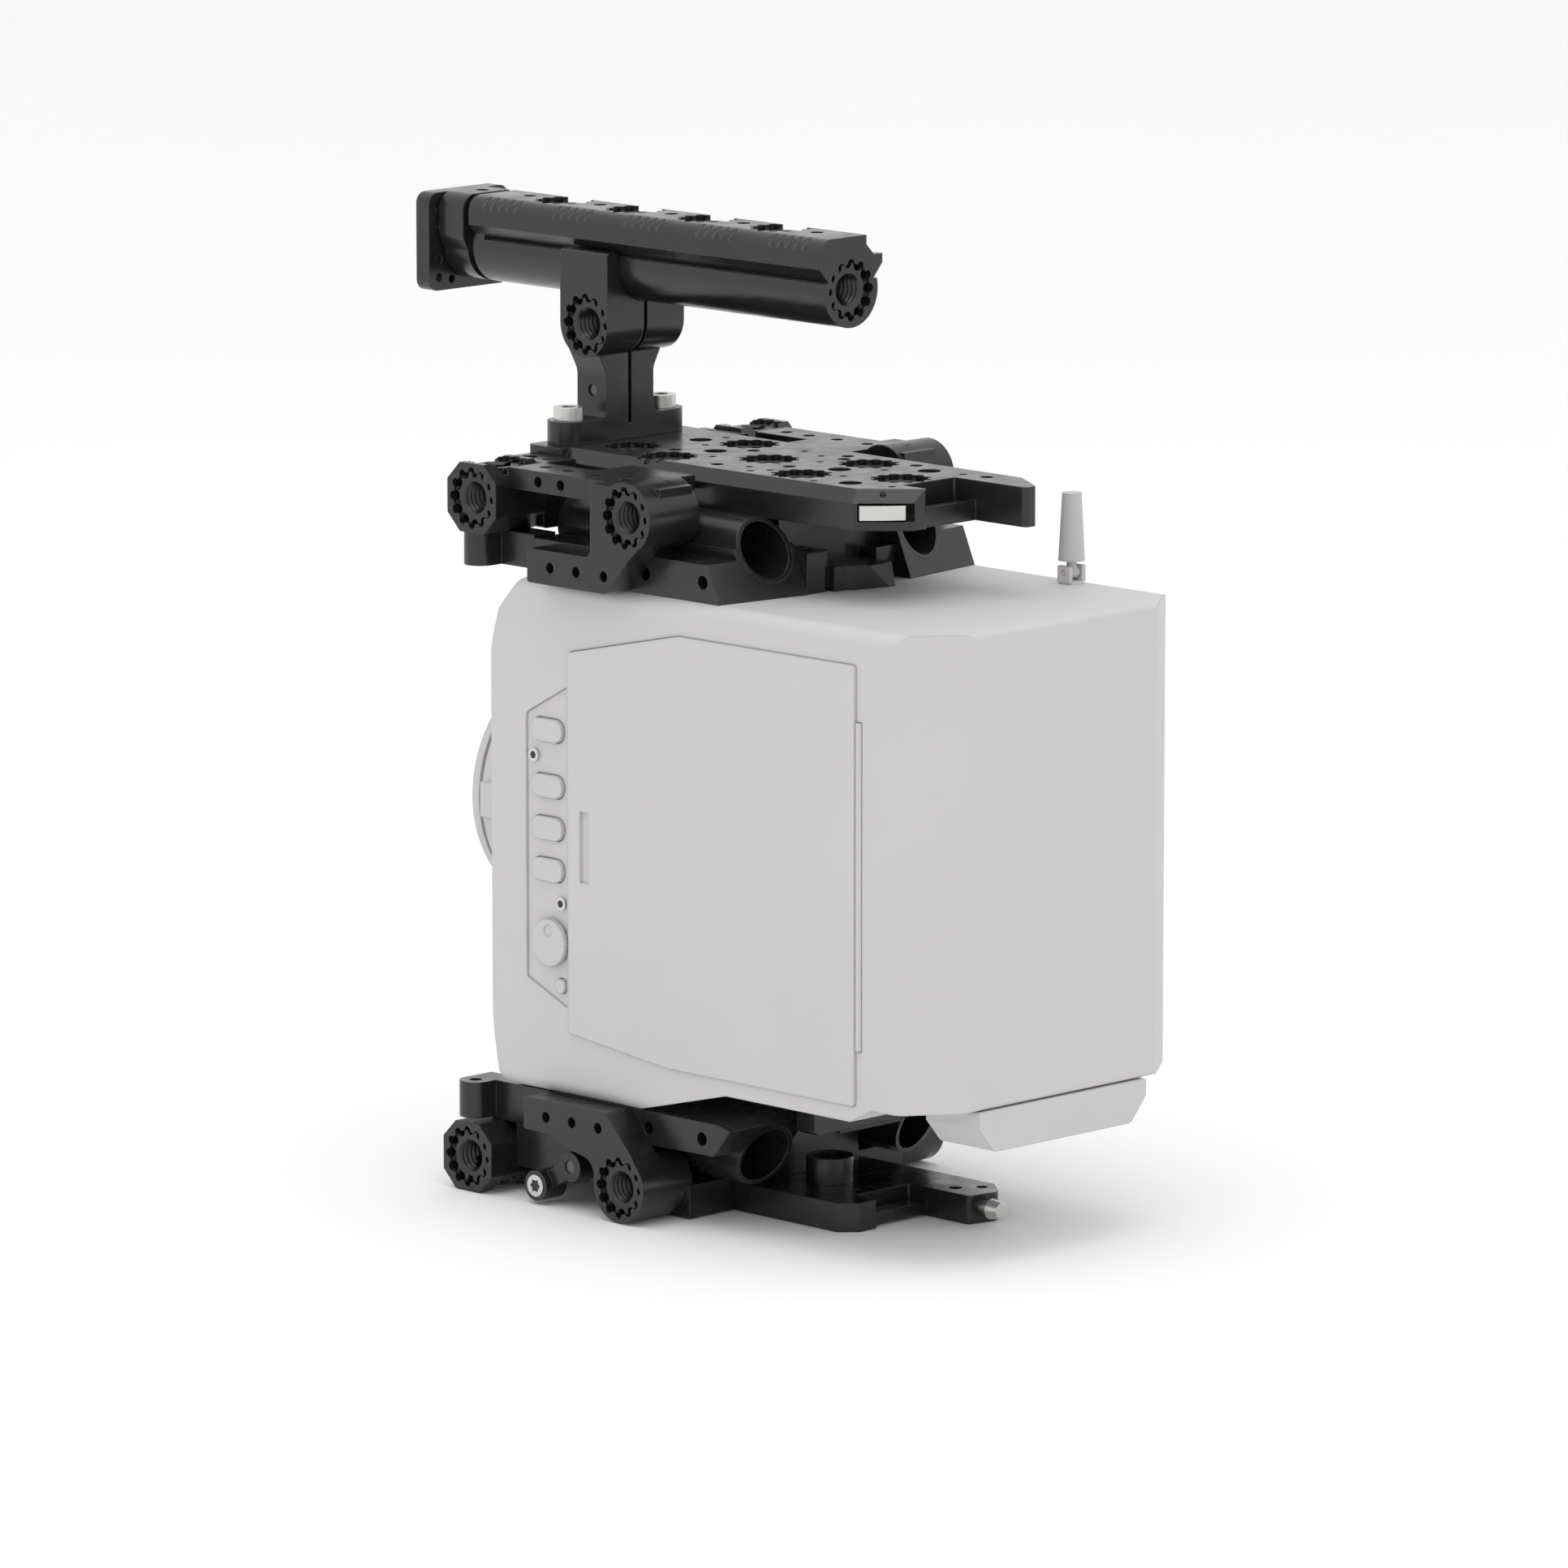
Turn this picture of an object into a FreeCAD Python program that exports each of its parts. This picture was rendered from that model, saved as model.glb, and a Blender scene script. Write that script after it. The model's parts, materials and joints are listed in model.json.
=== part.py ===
"""Cinema camera rig: a camera body between a top cage with a handle and a bottom cage.

Frame: +Z up, lens towards -Y, millimetres. The origin is on the ground, in the middle of
the footprint of the whole object.
"""
import FreeCAD, Part
import math
import os

import Sketcher
from FreeCAD import Placement, Rotation, Vector

os.makedirs("parts", exist_ok=True)
doc = FreeCAD.newDocument("cinema_camera_rig")
HALF_ROOT = math.sqrt(0.5)

# --------------------------------------------------------------------------------------
# Driving dimensions
# --------------------------------------------------------------------------------------
DIMENSIONS = {
    # handle
    "axis_height": 257.0, "handle_front": -101.5, "handle_rear": 38.0, "tube_radius": 10.4,
    "bar_half_width": 12.2, "bar_top": 14.8, "notch_x": 8.7, "notch_z": 2.6,
    "flank_low": 6.7, "flank_high": 9.2, "scoop_x": 8.9, "scoop_top_x": 6.0,
    "shoulder_round": 4.6, "groove_stop": 4.0,
    "flute_radius": 1.1, "flute_depth": 0.7, "flute_length": 9.0, "flute_pitch": 3.2, "seam_gap": 2.3, "collar_length": 9.7,
    "mount_plate_half": 15.4, "mount_plate_low": 13.4, "mount_plate_high": 14.6,
    "mount_plate_thick": 5.2, "mount_plate_gap": 0.9, "mount_neck_radius": 8.0,
    "handle_pitch": 28.5, "handle_hole_first": 24.8,
    # locating pattern: a 3/8-16 thread in a sunk disc ringed by twelve pin holes
    "thread_minor": 4.0, "thread_major": 4.7, "thread_pitch": 1.5875,
    "disc_radius": 7.35, "disc_depth": 1.3, "pin_radius": 1.3, "pin_depth": 4.0,
    "thread_depth": 9.0,
    # riser
    "cheek_x": 15.0, "cheek_top": 261.0, "cheek_round_z": 240.4, "cheek_half": 9.4,
    "riser_y": -52.0, "saddle_clear": 0.08, "neck_half": 9.2, "slot_half": 0.7,
    "slot_low": 211.5, "base_half": 24.0, "base_half_depth": 6.0, "base_thick": 6.6,
    "bolt_x": 18.0, "bolt_head_radius": 4.3, "bolt_head": 3.6, "bolt_shank": 2.5,
    # top cage
    "plate_top": 207.0, "plate_thick": 11.0, "plate_front": -62.0, "plate_rear": 75.5,
    "plate_half_front": 27.5, "plate_half_rear": 25.5, "plate_bevel": 3.6, "corner_cut": 11.5,
    "notch_left": 8.5, "notch_right": -12.0, "notch_floor": 66.0, "tail_rear": 93.0,
    "cube_side": 19.4, "cube_out": 59.6, "cube_y": -50.7, "cube_z": 196.3, "cube_bevel": 5.0,
    "boss_y": 10.0, "boss_z": 197.3, "boss_radius": 9.8,
    "bracket_in": 50.0, "arm_top": 185.8, "arm_front": -36.0, "bar_front": -28.5, "bar_low": 175.4, "bar_high": 184.9,
    "rod_x": 30.0, "rod_z": 188.0, "rod_bore": 7.55, "rod_outer": 8.8, "rod_fit": 0.03,
    "rod_front": -38.0, "rod_rear": 34.5, "rod_slant": 0.15, "rod_rake": 0.44,
    # camera body
    "body_half": 52.6, "body_top": 175.2, "body_low": 44.2, "body_front": -51.3,
    "body_rear": 119.6, "rear_bevel_x": 16.3, "rear_bevel_y": 12.0,
    "belly_low": 30.6, "belly_mid": 40.0,
    "lens_z": 106.0, "ring_radius": 34.8, "ring_front": -78.0, "mount_bore": 27.0,
    "button_y": -28.0,
    # bottom cage
    "floor_top": 8.0, "low_rod_z": 19.0, "low_cube_y": -53.7, "low_cube_z": 9.7,
    "low_boss_y": 6.9, "low_boss_z": 9.95,
}


class Size:
    """A length that carries its value and the spreadsheet expression behind it."""

    def __init__(self, value, text):
        self.value = value
        self.text = text

    def __add__(self, other):
        other = size(other)
        return Size(self.value + other.value, f"({self.text} + {other.text})")

    def __sub__(self, other):
        other = size(other)
        return Size(self.value - other.value, f"({self.text} - {other.text})")

    def __mul__(self, other):
        other = size(other)
        return Size(self.value * other.value, f"({self.text} * {other.text})")

    def __truediv__(self, other):
        other = size(other)
        return Size(self.value / other.value, f"({self.text} / {other.text})")

    def __neg__(self):
        return Size(-self.value, f"(-1 * {self.text})")

    def __radd__(self, other):
        return size(other) + self

    def __rsub__(self, other):
        return size(other) - self

    __rmul__ = __mul__


def size(number):
    """Turn a plain number into a Size."""
    if isinstance(number, Size):
        return number
    return Size(float(number), f"{float(number):.5f}")


class Dimensions:
    """The spreadsheet of driving dimensions, read as attributes."""

    def __init__(self, table):
        self.sheet = doc.addObject("Spreadsheet::Sheet", "dims")
        for row, (alias, value) in enumerate(table.items(), start=1):
            self.sheet.set(f"A{row}", alias)
            self.sheet.set(f"B{row}", str(value))
            self.sheet.setAlias(f"B{row}", alias)
            setattr(self, alias, Size(value, f"dims.{alias}"))


d = Dimensions(DIMENSIONS)
doc.recompute()
NODES = []


# --------------------------------------------------------------------------------------
# Building blocks
# --------------------------------------------------------------------------------------
def bind(thing, path, amount):
    """Tie one property of an object to the spreadsheet."""
    thing.setExpression(path, size(amount).text)


def place(thing, x=0, y=0, z=0, turn=None):
    """Put an object at a point, with an optional rotation."""
    point = [size(x), size(y), size(z)]
    thing.Placement = Placement(Vector(*[p.value for p in point]), turn or Rotation())
    for axis, value in zip("xyz", point):
        bind(thing, f"Placement.Base.{axis}", value)
    return thing


def box(name, x0, x1, y0, y1, z0, z1):
    """A block between two corners."""
    block = doc.addObject("Part::Box", name)
    for path, low, high in (("Length", x0, x1), ("Width", y0, y1), ("Height", z0, z1)):
        bind(block, path, size(high) - low)
    return place(block, x0, y0, z0)


ALONG = {"x": Rotation(Vector(0, 1, 0), 90), "y": Rotation(Vector(1, 0, 0), -90), "z": Rotation()}


def rod(name, axis, radius, x, y, z, length):
    """A cylinder that starts at a point and runs along +X, +Y or +Z."""
    cylinder = doc.addObject("Part::Cylinder", name)
    bind(cylinder, "Radius", radius)
    bind(cylinder, "Height", length)
    return place(cylinder, x, y, z, ALONG[axis])


def taper(name, axis, radius_1, radius_2, x, y, z, length):
    """A cone frustum that starts at a point and runs along +X, +Y or +Z."""
    cone = doc.addObject("Part::Cone", name)
    bind(cone, "Radius1", radius_1)
    bind(cone, "Radius2", radius_2)
    bind(cone, "Height", length)
    return place(cone, x, y, z, ALONG[axis])


def corner_arc(before, corner, after, radius):
    """Tangent points and centre of the round at one corner of an outline."""
    here = Vector(corner[0].value, corner[1].value, 0)
    back = (Vector(before[0].value, before[1].value, 0) - here).normalize()
    ahead = (Vector(after[0].value, after[1].value, 0) - here).normalize()
    half = back.getAngle(ahead) / 2
    reach = radius * (1 / math.tan(half))
    middle = (back + ahead).normalize() * (radius.value / math.sin(half)) + here
    start = (corner[0] + reach * back.x, corner[1] + reach * back.y)
    end = (corner[0] + reach * ahead.x, corner[1] + reach * ahead.y)
    return start, end, middle


def outline_runs(points):
    """Straight and round runs of a closed outline whose points may name a corner radius."""
    points = [tuple(size(value) for value in point) for point in points]
    count = len(points)
    stops = []
    for index, point in enumerate(points):
        if len(point) == 3:
            before = points[index - 1]
            after = points[(index + 1) % count]
            start, end, middle = corner_arc(before, point, after, point[2])
            stops.append((start, end, middle, point[2]))
        else:
            stops.append((point, point, None, None))
    return stops


def draw_outline(sketch, points):
    """Draw a closed outline and hold each of its points to the spreadsheet."""
    stops = outline_runs(points)
    flat = [Vector(p[0].value, p[1].value, 0) for stop in stops for p in stop[:2]]
    for index, (start, end, middle, radius) in enumerate(stops):
        if middle is not None:
            add_corner(sketch, start, end, middle, radius)
        following = stops[(index + 1) % len(stops)][0]
        first = flat[2 * index + 1]
        last = Vector(following[0].value, following[1].value, 0)
        if (last - first).Length > 1e-6:
            line = sketch.addGeometry(Part.LineSegment(first, last), False)
            hold(sketch, line, 1, end)
            hold(sketch, line, 2, following)


def add_corner(sketch, start, end, middle, radius):
    """Add one round corner to a sketch."""
    first = Vector(start[0].value, start[1].value, 0)
    last = Vector(end[0].value, end[1].value, 0)
    swing = (first - middle).cross(last - middle).z
    left, right = (first, last) if swing > 0 else (last, first)
    circle = Part.Circle(middle, Vector(0, 0, 1), radius.value)
    arc = Part.ArcOfCircle(circle, circle.parameter(left), circle.parameter(right))
    corner = sketch.addGeometry(arc, False)
    ends = (start, end) if swing > 0 else (end, start)
    hold(sketch, corner, 1, ends[0])
    hold(sketch, corner, 2, ends[1])


def hold(sketch, item, end, point):
    """Fix one end of a sketch item at a point of the spreadsheet."""
    for kind, value in (("DistanceX", point[0]), ("DistanceY", point[1])):
        number = sketch.addConstraint(Sketcher.Constraint(kind, item, end, value.value))
        sketch.setExpression(f"Constraints[{number}]", value.text)


PLANES = {"xy": "XY_Plane", "xz": "XZ_Plane", "yz": "YZ_Plane"}


def body_sketch(name, plane, offset=0):
    """A new body with one sketch on an origin plane, moved along the plane's normal."""
    body = doc.addObject("PartDesign::Body", name)
    sketch = body.newObject("Sketcher::SketchObject", name + "_outline")
    role = PLANES[plane]
    support = [o for o in body.Origin.OriginFeatures if o.Role == role][0]
    sketch.AttachmentSupport = [(support, "")]
    sketch.MapMode = "FlatFace"
    bind(sketch, "AttachmentOffset.Base.z", offset)
    return body, sketch


def prism(name, plane, low, high, points):
    """A flat outline given a thickness, from low to high along the plane's axis."""
    start = -size(high) if plane == "xz" else size(low)
    body, sketch = body_sketch(name, plane, start)
    draw_outline(sketch, points)
    pad = body.newObject("PartDesign::Pad", name + "_pad")
    pad.Profile = sketch
    bind(pad, "Length", size(high) - low)
    body.Tip = pad
    return body


def turned(name, points):
    """A turned piece: an outline of radius and height, turned about Z."""
    body, sketch = body_sketch(name, "xz")
    draw_outline(sketch, points)
    turn = body.newObject("PartDesign::Revolution", name + "_turn")
    turn.Profile = sketch
    turn.ReferenceAxis = (sketch, ["V_Axis"])
    turn.Angle = 360
    body.Tip = turn
    return body


def fuse(name, shapes):
    """Join shapes into one solid."""
    whole = doc.addObject("Part::MultiFuse", name)
    whole.Shapes = shapes
    whole.Refine = True
    return whole


def cut(name, base, tools):
    """Take tools away from a base."""
    result = doc.addObject("Part::Cut", name)
    result.Base = base
    result.Tool = tools[0] if len(tools) == 1 else fuse(name + "_tools", tools)
    return result


def group(name, shapes):
    """Separate solids that share one node."""
    pieces = doc.addObject("Part::Compound", name)
    pieces.Links = shapes
    return pieces


def mirrored(name, source):
    """The same piece on the other side of the middle plane."""
    copy = doc.addObject("Part::Mirroring", name)
    copy.Source = source
    copy.Normal = Vector(1, 0, 0)
    return copy


def node(name, thing):
    """Name a finished sub-part."""
    thing.Label = name
    NODES.append(thing)
    return thing


FACING = {
    "+z": Rotation(), "-z": Rotation(Vector(1, 0, 0), 180),
    "+x": Rotation(Vector(0, 1, 0), 90), "-x": Rotation(Vector(0, 1, 0), -90),
    "+y": Rotation(Vector(1, 0, 0), -90), "-y": Rotation(Vector(1, 0, 0), 90),
}


def thread_outline(depth):
    """Radius and height of the sunk disc, the lead-in and the thread's ridges."""
    lead = d.thread_major - d.thread_minor
    points = [(0, 1), (d.disc_radius, 1), (d.disc_radius, -d.disc_depth),
              (d.thread_major, -d.disc_depth), (d.thread_minor, -d.disc_depth - lead)]
    ridge = d.thread_pitch / 2
    turns = int((size(depth).value - 2.2) / d.thread_pitch.value)
    height = -d.disc_depth - lead
    for _ in range(turns):
        points.append((d.thread_major, height - ridge))
        points.append((d.thread_minor, height - d.thread_pitch))
        height = height - d.thread_pitch
    points.append((d.thread_minor, -size(depth)))
    points.append((0, -size(depth)))
    return points


def pin_ring(name, depth):
    """The twelve pin holes round a thread, sunk from the surface."""
    holes = []
    for step in range(12):
        angle = math.radians(30 * step)
        x = d.disc_radius * math.cos(angle)
        y = d.disc_radius * math.sin(angle)
        holes.append(rod(f"{name}_{step}", "z", d.pin_radius, x, y, -size(depth), size(depth) + 1))
    return holes


def locating_tool(name, depth, pins):
    """Everything that one locating pattern takes away, facing +Z at the origin."""
    return fuse(name, [turned(name + "_thread", thread_outline(depth))] + pin_ring(name + "_pin", pins))


SHALLOW = locating_tool("pattern_shallow", d.thread_depth, d.pin_depth)
THROUGH = locating_tool("pattern_through", d.cube_side + 1, d.cube_side + 1)


def pattern(tool, facing, x, y, z):
    """One locating pattern cut, at a point on a face."""
    link = doc.addObject("App::Link", "pattern_cut")
    link.LinkedObject = tool
    return place(link, x, y, z, FACING[facing])


def drill(facing, radius, x, y, z, depth):
    """One plain round hole sunk into a face that looks along facing."""
    hole = doc.addObject("Part::Cylinder", "hole")
    bind(hole, "Radius", radius)
    bind(hole, "Height", size(depth) + 1)
    start = {"x": size(x), "y": size(y), "z": size(z)}
    back = size(depth) if facing[0] == "+" else size(1)
    start[facing[1]] = start[facing[1]] - back
    return place(hole, start["x"], start["y"], start["z"], ALONG[facing[1]])


def screw(name, facing, radius, head, x, y, z, recess=0.55):
    """A cap screw head that stands on a face, with a six-sided socket."""
    cap = doc.addObject("Part::Cylinder", name + "_cap")
    bind(cap, "Radius", radius)
    bind(cap, "Height", head)
    place(cap, x, y, z, FACING[facing])
    socket = doc.addObject("Part::Prism", name + "_socket")
    socket.Polygon = 6
    bind(socket, "Circumradius", radius * recess)
    bind(socket, "Height", head)
    lift = head * 0.45
    shift = {axis: size(0) for axis in "xyz"}
    shift[facing[1]] = lift if facing[0] == "+" else -lift
    place(socket, size(x) + shift["x"], size(y) + shift["y"], size(z) + shift["z"], FACING[facing])
    return cut(name, cap, [socket])


# --------------------------------------------------------------------------------------
# Handle
# --------------------------------------------------------------------------------------
def bar_section(name, front, rear, groove_front):
    """The bar's section: a tube below, a shouldered rail above, a V groove on each flank."""
    tube = rod(name + "_tube", "y", d.tube_radius, 0, front, d.axis_height, size(rear) - front)
    axis = d.axis_height
    rail = prism(name + "_rail", "xz", front, rear, [
        (d.notch_x, axis + d.notch_z), (d.bar_half_width, axis + d.flank_low),
        (d.bar_half_width, axis + d.bar_top, d.shoulder_round),
        (-d.scoop_top_x, axis + d.bar_top), (-d.scoop_top_x, axis + d.bar_top - 2.6),
        (-d.scoop_x, axis + d.flank_high), (-d.bar_half_width, axis + d.flank_high),
        (-d.bar_half_width, axis + d.flank_low), (-d.notch_x, axis + d.notch_z)])
    solid = fuse(name + "_solid", [tube, rail])
    grooves = []
    slope = (d.flank_low - d.notch_z) / (d.bar_half_width - d.notch_x)
    for side in (1, -1):
        far = d.tube_radius + 1
        high = axis + d.notch_z + slope * (far - d.notch_x)
        corners = [(d.notch_x * side, axis + d.notch_z), (far * side, axis + d.notch_z),
                   (far * side, high)]
        grooves.append(prism(f"{name}_groove_{'left' if side > 0 else 'right'}", "xz",
                             groove_front, size(rear) + 1, corners))
    return solid, grooves


def shoulder_flute(y):
    """A grip flute: a cylinder laid at 45 degrees against the rail's rounded left shoulder."""
    reach = d.shoulder_round + d.flute_radius - d.flute_depth
    middle_x = d.bar_half_width - d.shoulder_round + reach * HALF_ROOT
    middle_z = d.axis_height + d.bar_top - d.shoulder_round + reach * HALF_ROOT
    back = d.flute_length / 2 * HALF_ROOT
    flute = rod("flute", "z", d.flute_radius, 0, 0, 0, d.flute_length)
    place(flute, middle_x + back, y, middle_z - back, Rotation(Vector(0, 1, 0), -45))
    return flute


def make_handle_bar():
    """The handle's rail, with its accessory threads, pin holes and grip flutes."""
    solid, cuts = bar_section("bar", d.handle_front, d.handle_rear, d.handle_front + d.groove_stop)
    top = d.axis_height + d.bar_top
    for step in range(4):
        cuts.append(pattern(SHALLOW, "+z", 0, d.handle_hole_first - d.handle_pitch * (step + 0.5), top))
    for step in range(5):
        y = d.handle_hole_first - d.handle_pitch * step
        cuts.append(drill("+z", 1.9, 0, y, top, 8))
    for station in range(5):
        for flute in range(-2, 3):
            y = d.handle_hole_first - d.handle_pitch * station + d.flute_pitch * flute
            cuts.append(shoulder_flute(y))
    cuts.append(pattern(SHALLOW, "+y", 0, d.handle_rear, d.axis_height))
    for hole in range(3):
        cuts.append(drill("-x", 1.6, -d.bar_half_width, d.handle_rear - 4 - hole * 57, d.axis_height + 8, 3))
    node("handle_bar", cut("handle_bar", solid, cuts))


def make_handle_front():
    """The turning front mount: seam ring, collar, mounting plate and its screws."""
    seam_rear = d.handle_front - 0.3
    collar_rear = d.handle_front - d.seam_gap
    collar_front = collar_rear - d.collar_length
    node("handle_seam_ring", rod("seam_ring", "y", d.tube_radius - 1.4, 0, collar_rear,
                                 d.axis_height, seam_rear - collar_rear))
    section, _ = bar_section("collar", collar_front, collar_rear, collar_front)
    cheeks = prism("collar_cheeks", "xz", collar_front, collar_rear, [
        (-d.bar_half_width, d.axis_height + d.flank_high), (-d.bar_half_width, d.axis_height + d.notch_z, 3),
        (d.notch_z - d.bar_half_width, d.axis_height - d.notch_z), (d.bar_half_width - d.notch_z, d.axis_height - d.notch_z),
        (d.bar_half_width, d.axis_height + d.notch_z, 3), (d.bar_half_width, d.axis_height + d.flank_high)])
    solid = fuse("collar_solid", [section, cheeks])
    cuts = []
    cuts.append(drill("+z", 1.9, 0, (collar_front + collar_rear) / 2, d.axis_height + d.bar_top, 6))
    node("handle_front_collar", cut("handle_front_collar", solid, cuts))
    plate_rear = collar_front - d.mount_plate_gap
    node("mount_plate_spacer", rod("mount_spacer", "y", d.mount_neck_radius, 0, plate_rear,
                                   d.axis_height, d.mount_plate_gap))
    plate_front = plate_rear - d.mount_plate_thick
    half = d.mount_plate_half
    low = d.axis_height - d.mount_plate_low
    high = d.axis_height + d.mount_plate_high
    plate = prism("mount_plate", "xz", plate_front, plate_rear, [
        (-half, low, 3.2), (half, low, 3.2), (half, high, 3.2), (-half, high, 3.2)])
    holes = []
    for x in (-11.6, 11.6):
        for z in (-9.6, -4.6, 4.6, 9.6):
            holes.append(drill("+y", 1.25, x, plate_rear, d.axis_height + z, d.mount_plate_thick + 1))
    for x in (-6.6, 6.6):
        holes.append(drill("+y", 1.25, x, plate_rear, d.axis_height - 10.4, 3))
    holes.append(pattern(SHALLOW, "-y", 0, plate_front, d.axis_height))
    node("handle_mount_plate", cut("handle_mount_plate", plate, holes))
    return plate_front


# --------------------------------------------------------------------------------------
# Riser that clamps the handle
# --------------------------------------------------------------------------------------
def make_riser():
    """The split riser: two cheeks round the handle's tube, a neck and an oblong foot."""
    axis = d.axis_height
    cheeks = prism("riser_cheeks", "xz", d.riser_y - d.cheek_half, d.riser_y + d.cheek_half, [
        (-d.cheek_x, d.cheek_round_z - d.cheek_half), (d.cheek_x, d.cheek_round_z - d.cheek_half),
        (d.cheek_x, d.cheek_top, 1), (d.tube_radius - 1, d.cheek_top), (-d.tube_radius + 1, d.cheek_top),
        (-d.cheek_x, d.cheek_top, 1)])
    side_shape = prism("riser_side", "yz", -d.cheek_x, d.cheek_x, [
        (d.riser_y - d.cheek_half, d.cheek_top), (d.riser_y - d.cheek_half, d.cheek_round_z),
        (d.riser_y - d.cheek_half, d.cheek_round_z - d.cheek_half, d.cheek_half - 0.1),
        (d.riser_y + d.cheek_half, d.cheek_round_z - d.cheek_half, d.cheek_half - 0.1),
        (d.riser_y + d.cheek_half, d.cheek_top)])
    head = doc.addObject("Part::Common", "riser_head")
    head.Base = cheeks
    head.Tool = side_shape
    foot_top = d.plate_top + d.base_thick
    middle = d.riser_y - 3
    neck = box("riser_neck", -d.neck_half, d.neck_half, middle - d.base_half_depth + 0.4,
               middle + d.base_half_depth, d.plate_top + 1, d.cheek_round_z)
    throat = prism("riser_throat", "xz", middle - d.base_half_depth + 0.4, middle + d.base_half_depth, [
        (-d.cheek_x + 1, d.cheek_round_z - 5), (-d.neck_half, d.cheek_round_z - 14, 5),
        (-d.neck_half, foot_top, 3), (-d.neck_half - 3.4, foot_top - 0.5), (-d.neck_half - 3.4, foot_top - 2),
        (d.neck_half + 3.4, foot_top - 2), (d.neck_half + 3.4, foot_top - 0.5), (d.neck_half, foot_top, 3),
        (d.neck_half, d.cheek_round_z - 14, 5), (d.cheek_x - 1, d.cheek_round_z - 5)])
    foot = prism("riser_foot", "xy", d.plate_top, foot_top, [
        (-d.base_half, middle - d.base_half_depth, d.base_half_depth - 0.05),
        (d.base_half, middle - d.base_half_depth, d.base_half_depth - 0.05),
        (d.base_half, middle + d.base_half_depth, d.base_half_depth - 0.05),
        (-d.base_half, middle + d.base_half_depth, d.base_half_depth - 0.05)])
    solid = fuse("riser_solid", [head, neck, throat, foot])
    saddle = rod("riser_saddle", "y", d.tube_radius + d.saddle_clear, 0, d.riser_y - 12, axis, 24)
    split = box("riser_split", -d.slot_half, d.slot_half, d.riser_y - 12, d.riser_y + 12,
                d.slot_low, axis)
    mouth = box("riser_mouth", -(d.tube_radius + d.saddle_clear), d.tube_radius + d.saddle_clear,
                d.riser_y - 12, d.riser_y + 12, axis, d.cheek_top + 1)
    cuts = [saddle, mouth, split,
            pattern(SHALLOW, "+x", d.cheek_x, d.riser_y + 0.6, d.cheek_round_z),
            pattern(SHALLOW, "-x", -d.cheek_x, d.riser_y + 0.6, d.cheek_round_z)]
    for side in (-1, 1):
        cuts.append(drill("+z", d.bolt_shank + 0.1, d.bolt_x * side, middle, foot_top, d.base_thick + 1))
    cuts.append(drill("+x", 1.7, d.neck_half, middle + 0.4, 221, 2 * d.neck_half + 1))
    node("handle_riser", cut("handle_riser", solid, cuts))
    pinch = screw("pinch_head", "-x", 3.0, size(2.6), -d.neck_half - 0.02, middle + 0.4, 221)
    shank = rod("pinch_shank", "x", 1.6, -d.neck_half - 0.5, middle + 0.4, 221, 2 * d.neck_half - 0.1)
    node("riser_pinch_screw", fuse("riser_pinch_screw", [pinch, shank]))
    for side, word in ((1, "left"), (-1, "right")):
        name = f"riser_bolt_{word}"
        head_part = screw(name + "_head", "+z", d.bolt_head_radius, d.bolt_head,
                          d.bolt_x * side, middle, foot_top + 0.02)
        shaft = rod(name + "_shank", "z", d.bolt_shank, d.bolt_x * side, middle,
                    foot_top - d.base_thick - 6, d.base_thick + 6.1)
        node(name, fuse(name, [head_part, shaft]))
    return middle


# --------------------------------------------------------------------------------------
# Top cage
# --------------------------------------------------------------------------------------
def edge_wedge(name, start, end):
    """A chamfer's cutter: its corner lies on the edge that runs along +Y, its outside towards +X."""
    bevel = d.plate_bevel
    return prism(name, "xz", start, end, [(3, -bevel - 3), (3, 3), (-bevel - 3, 3)])


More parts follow.
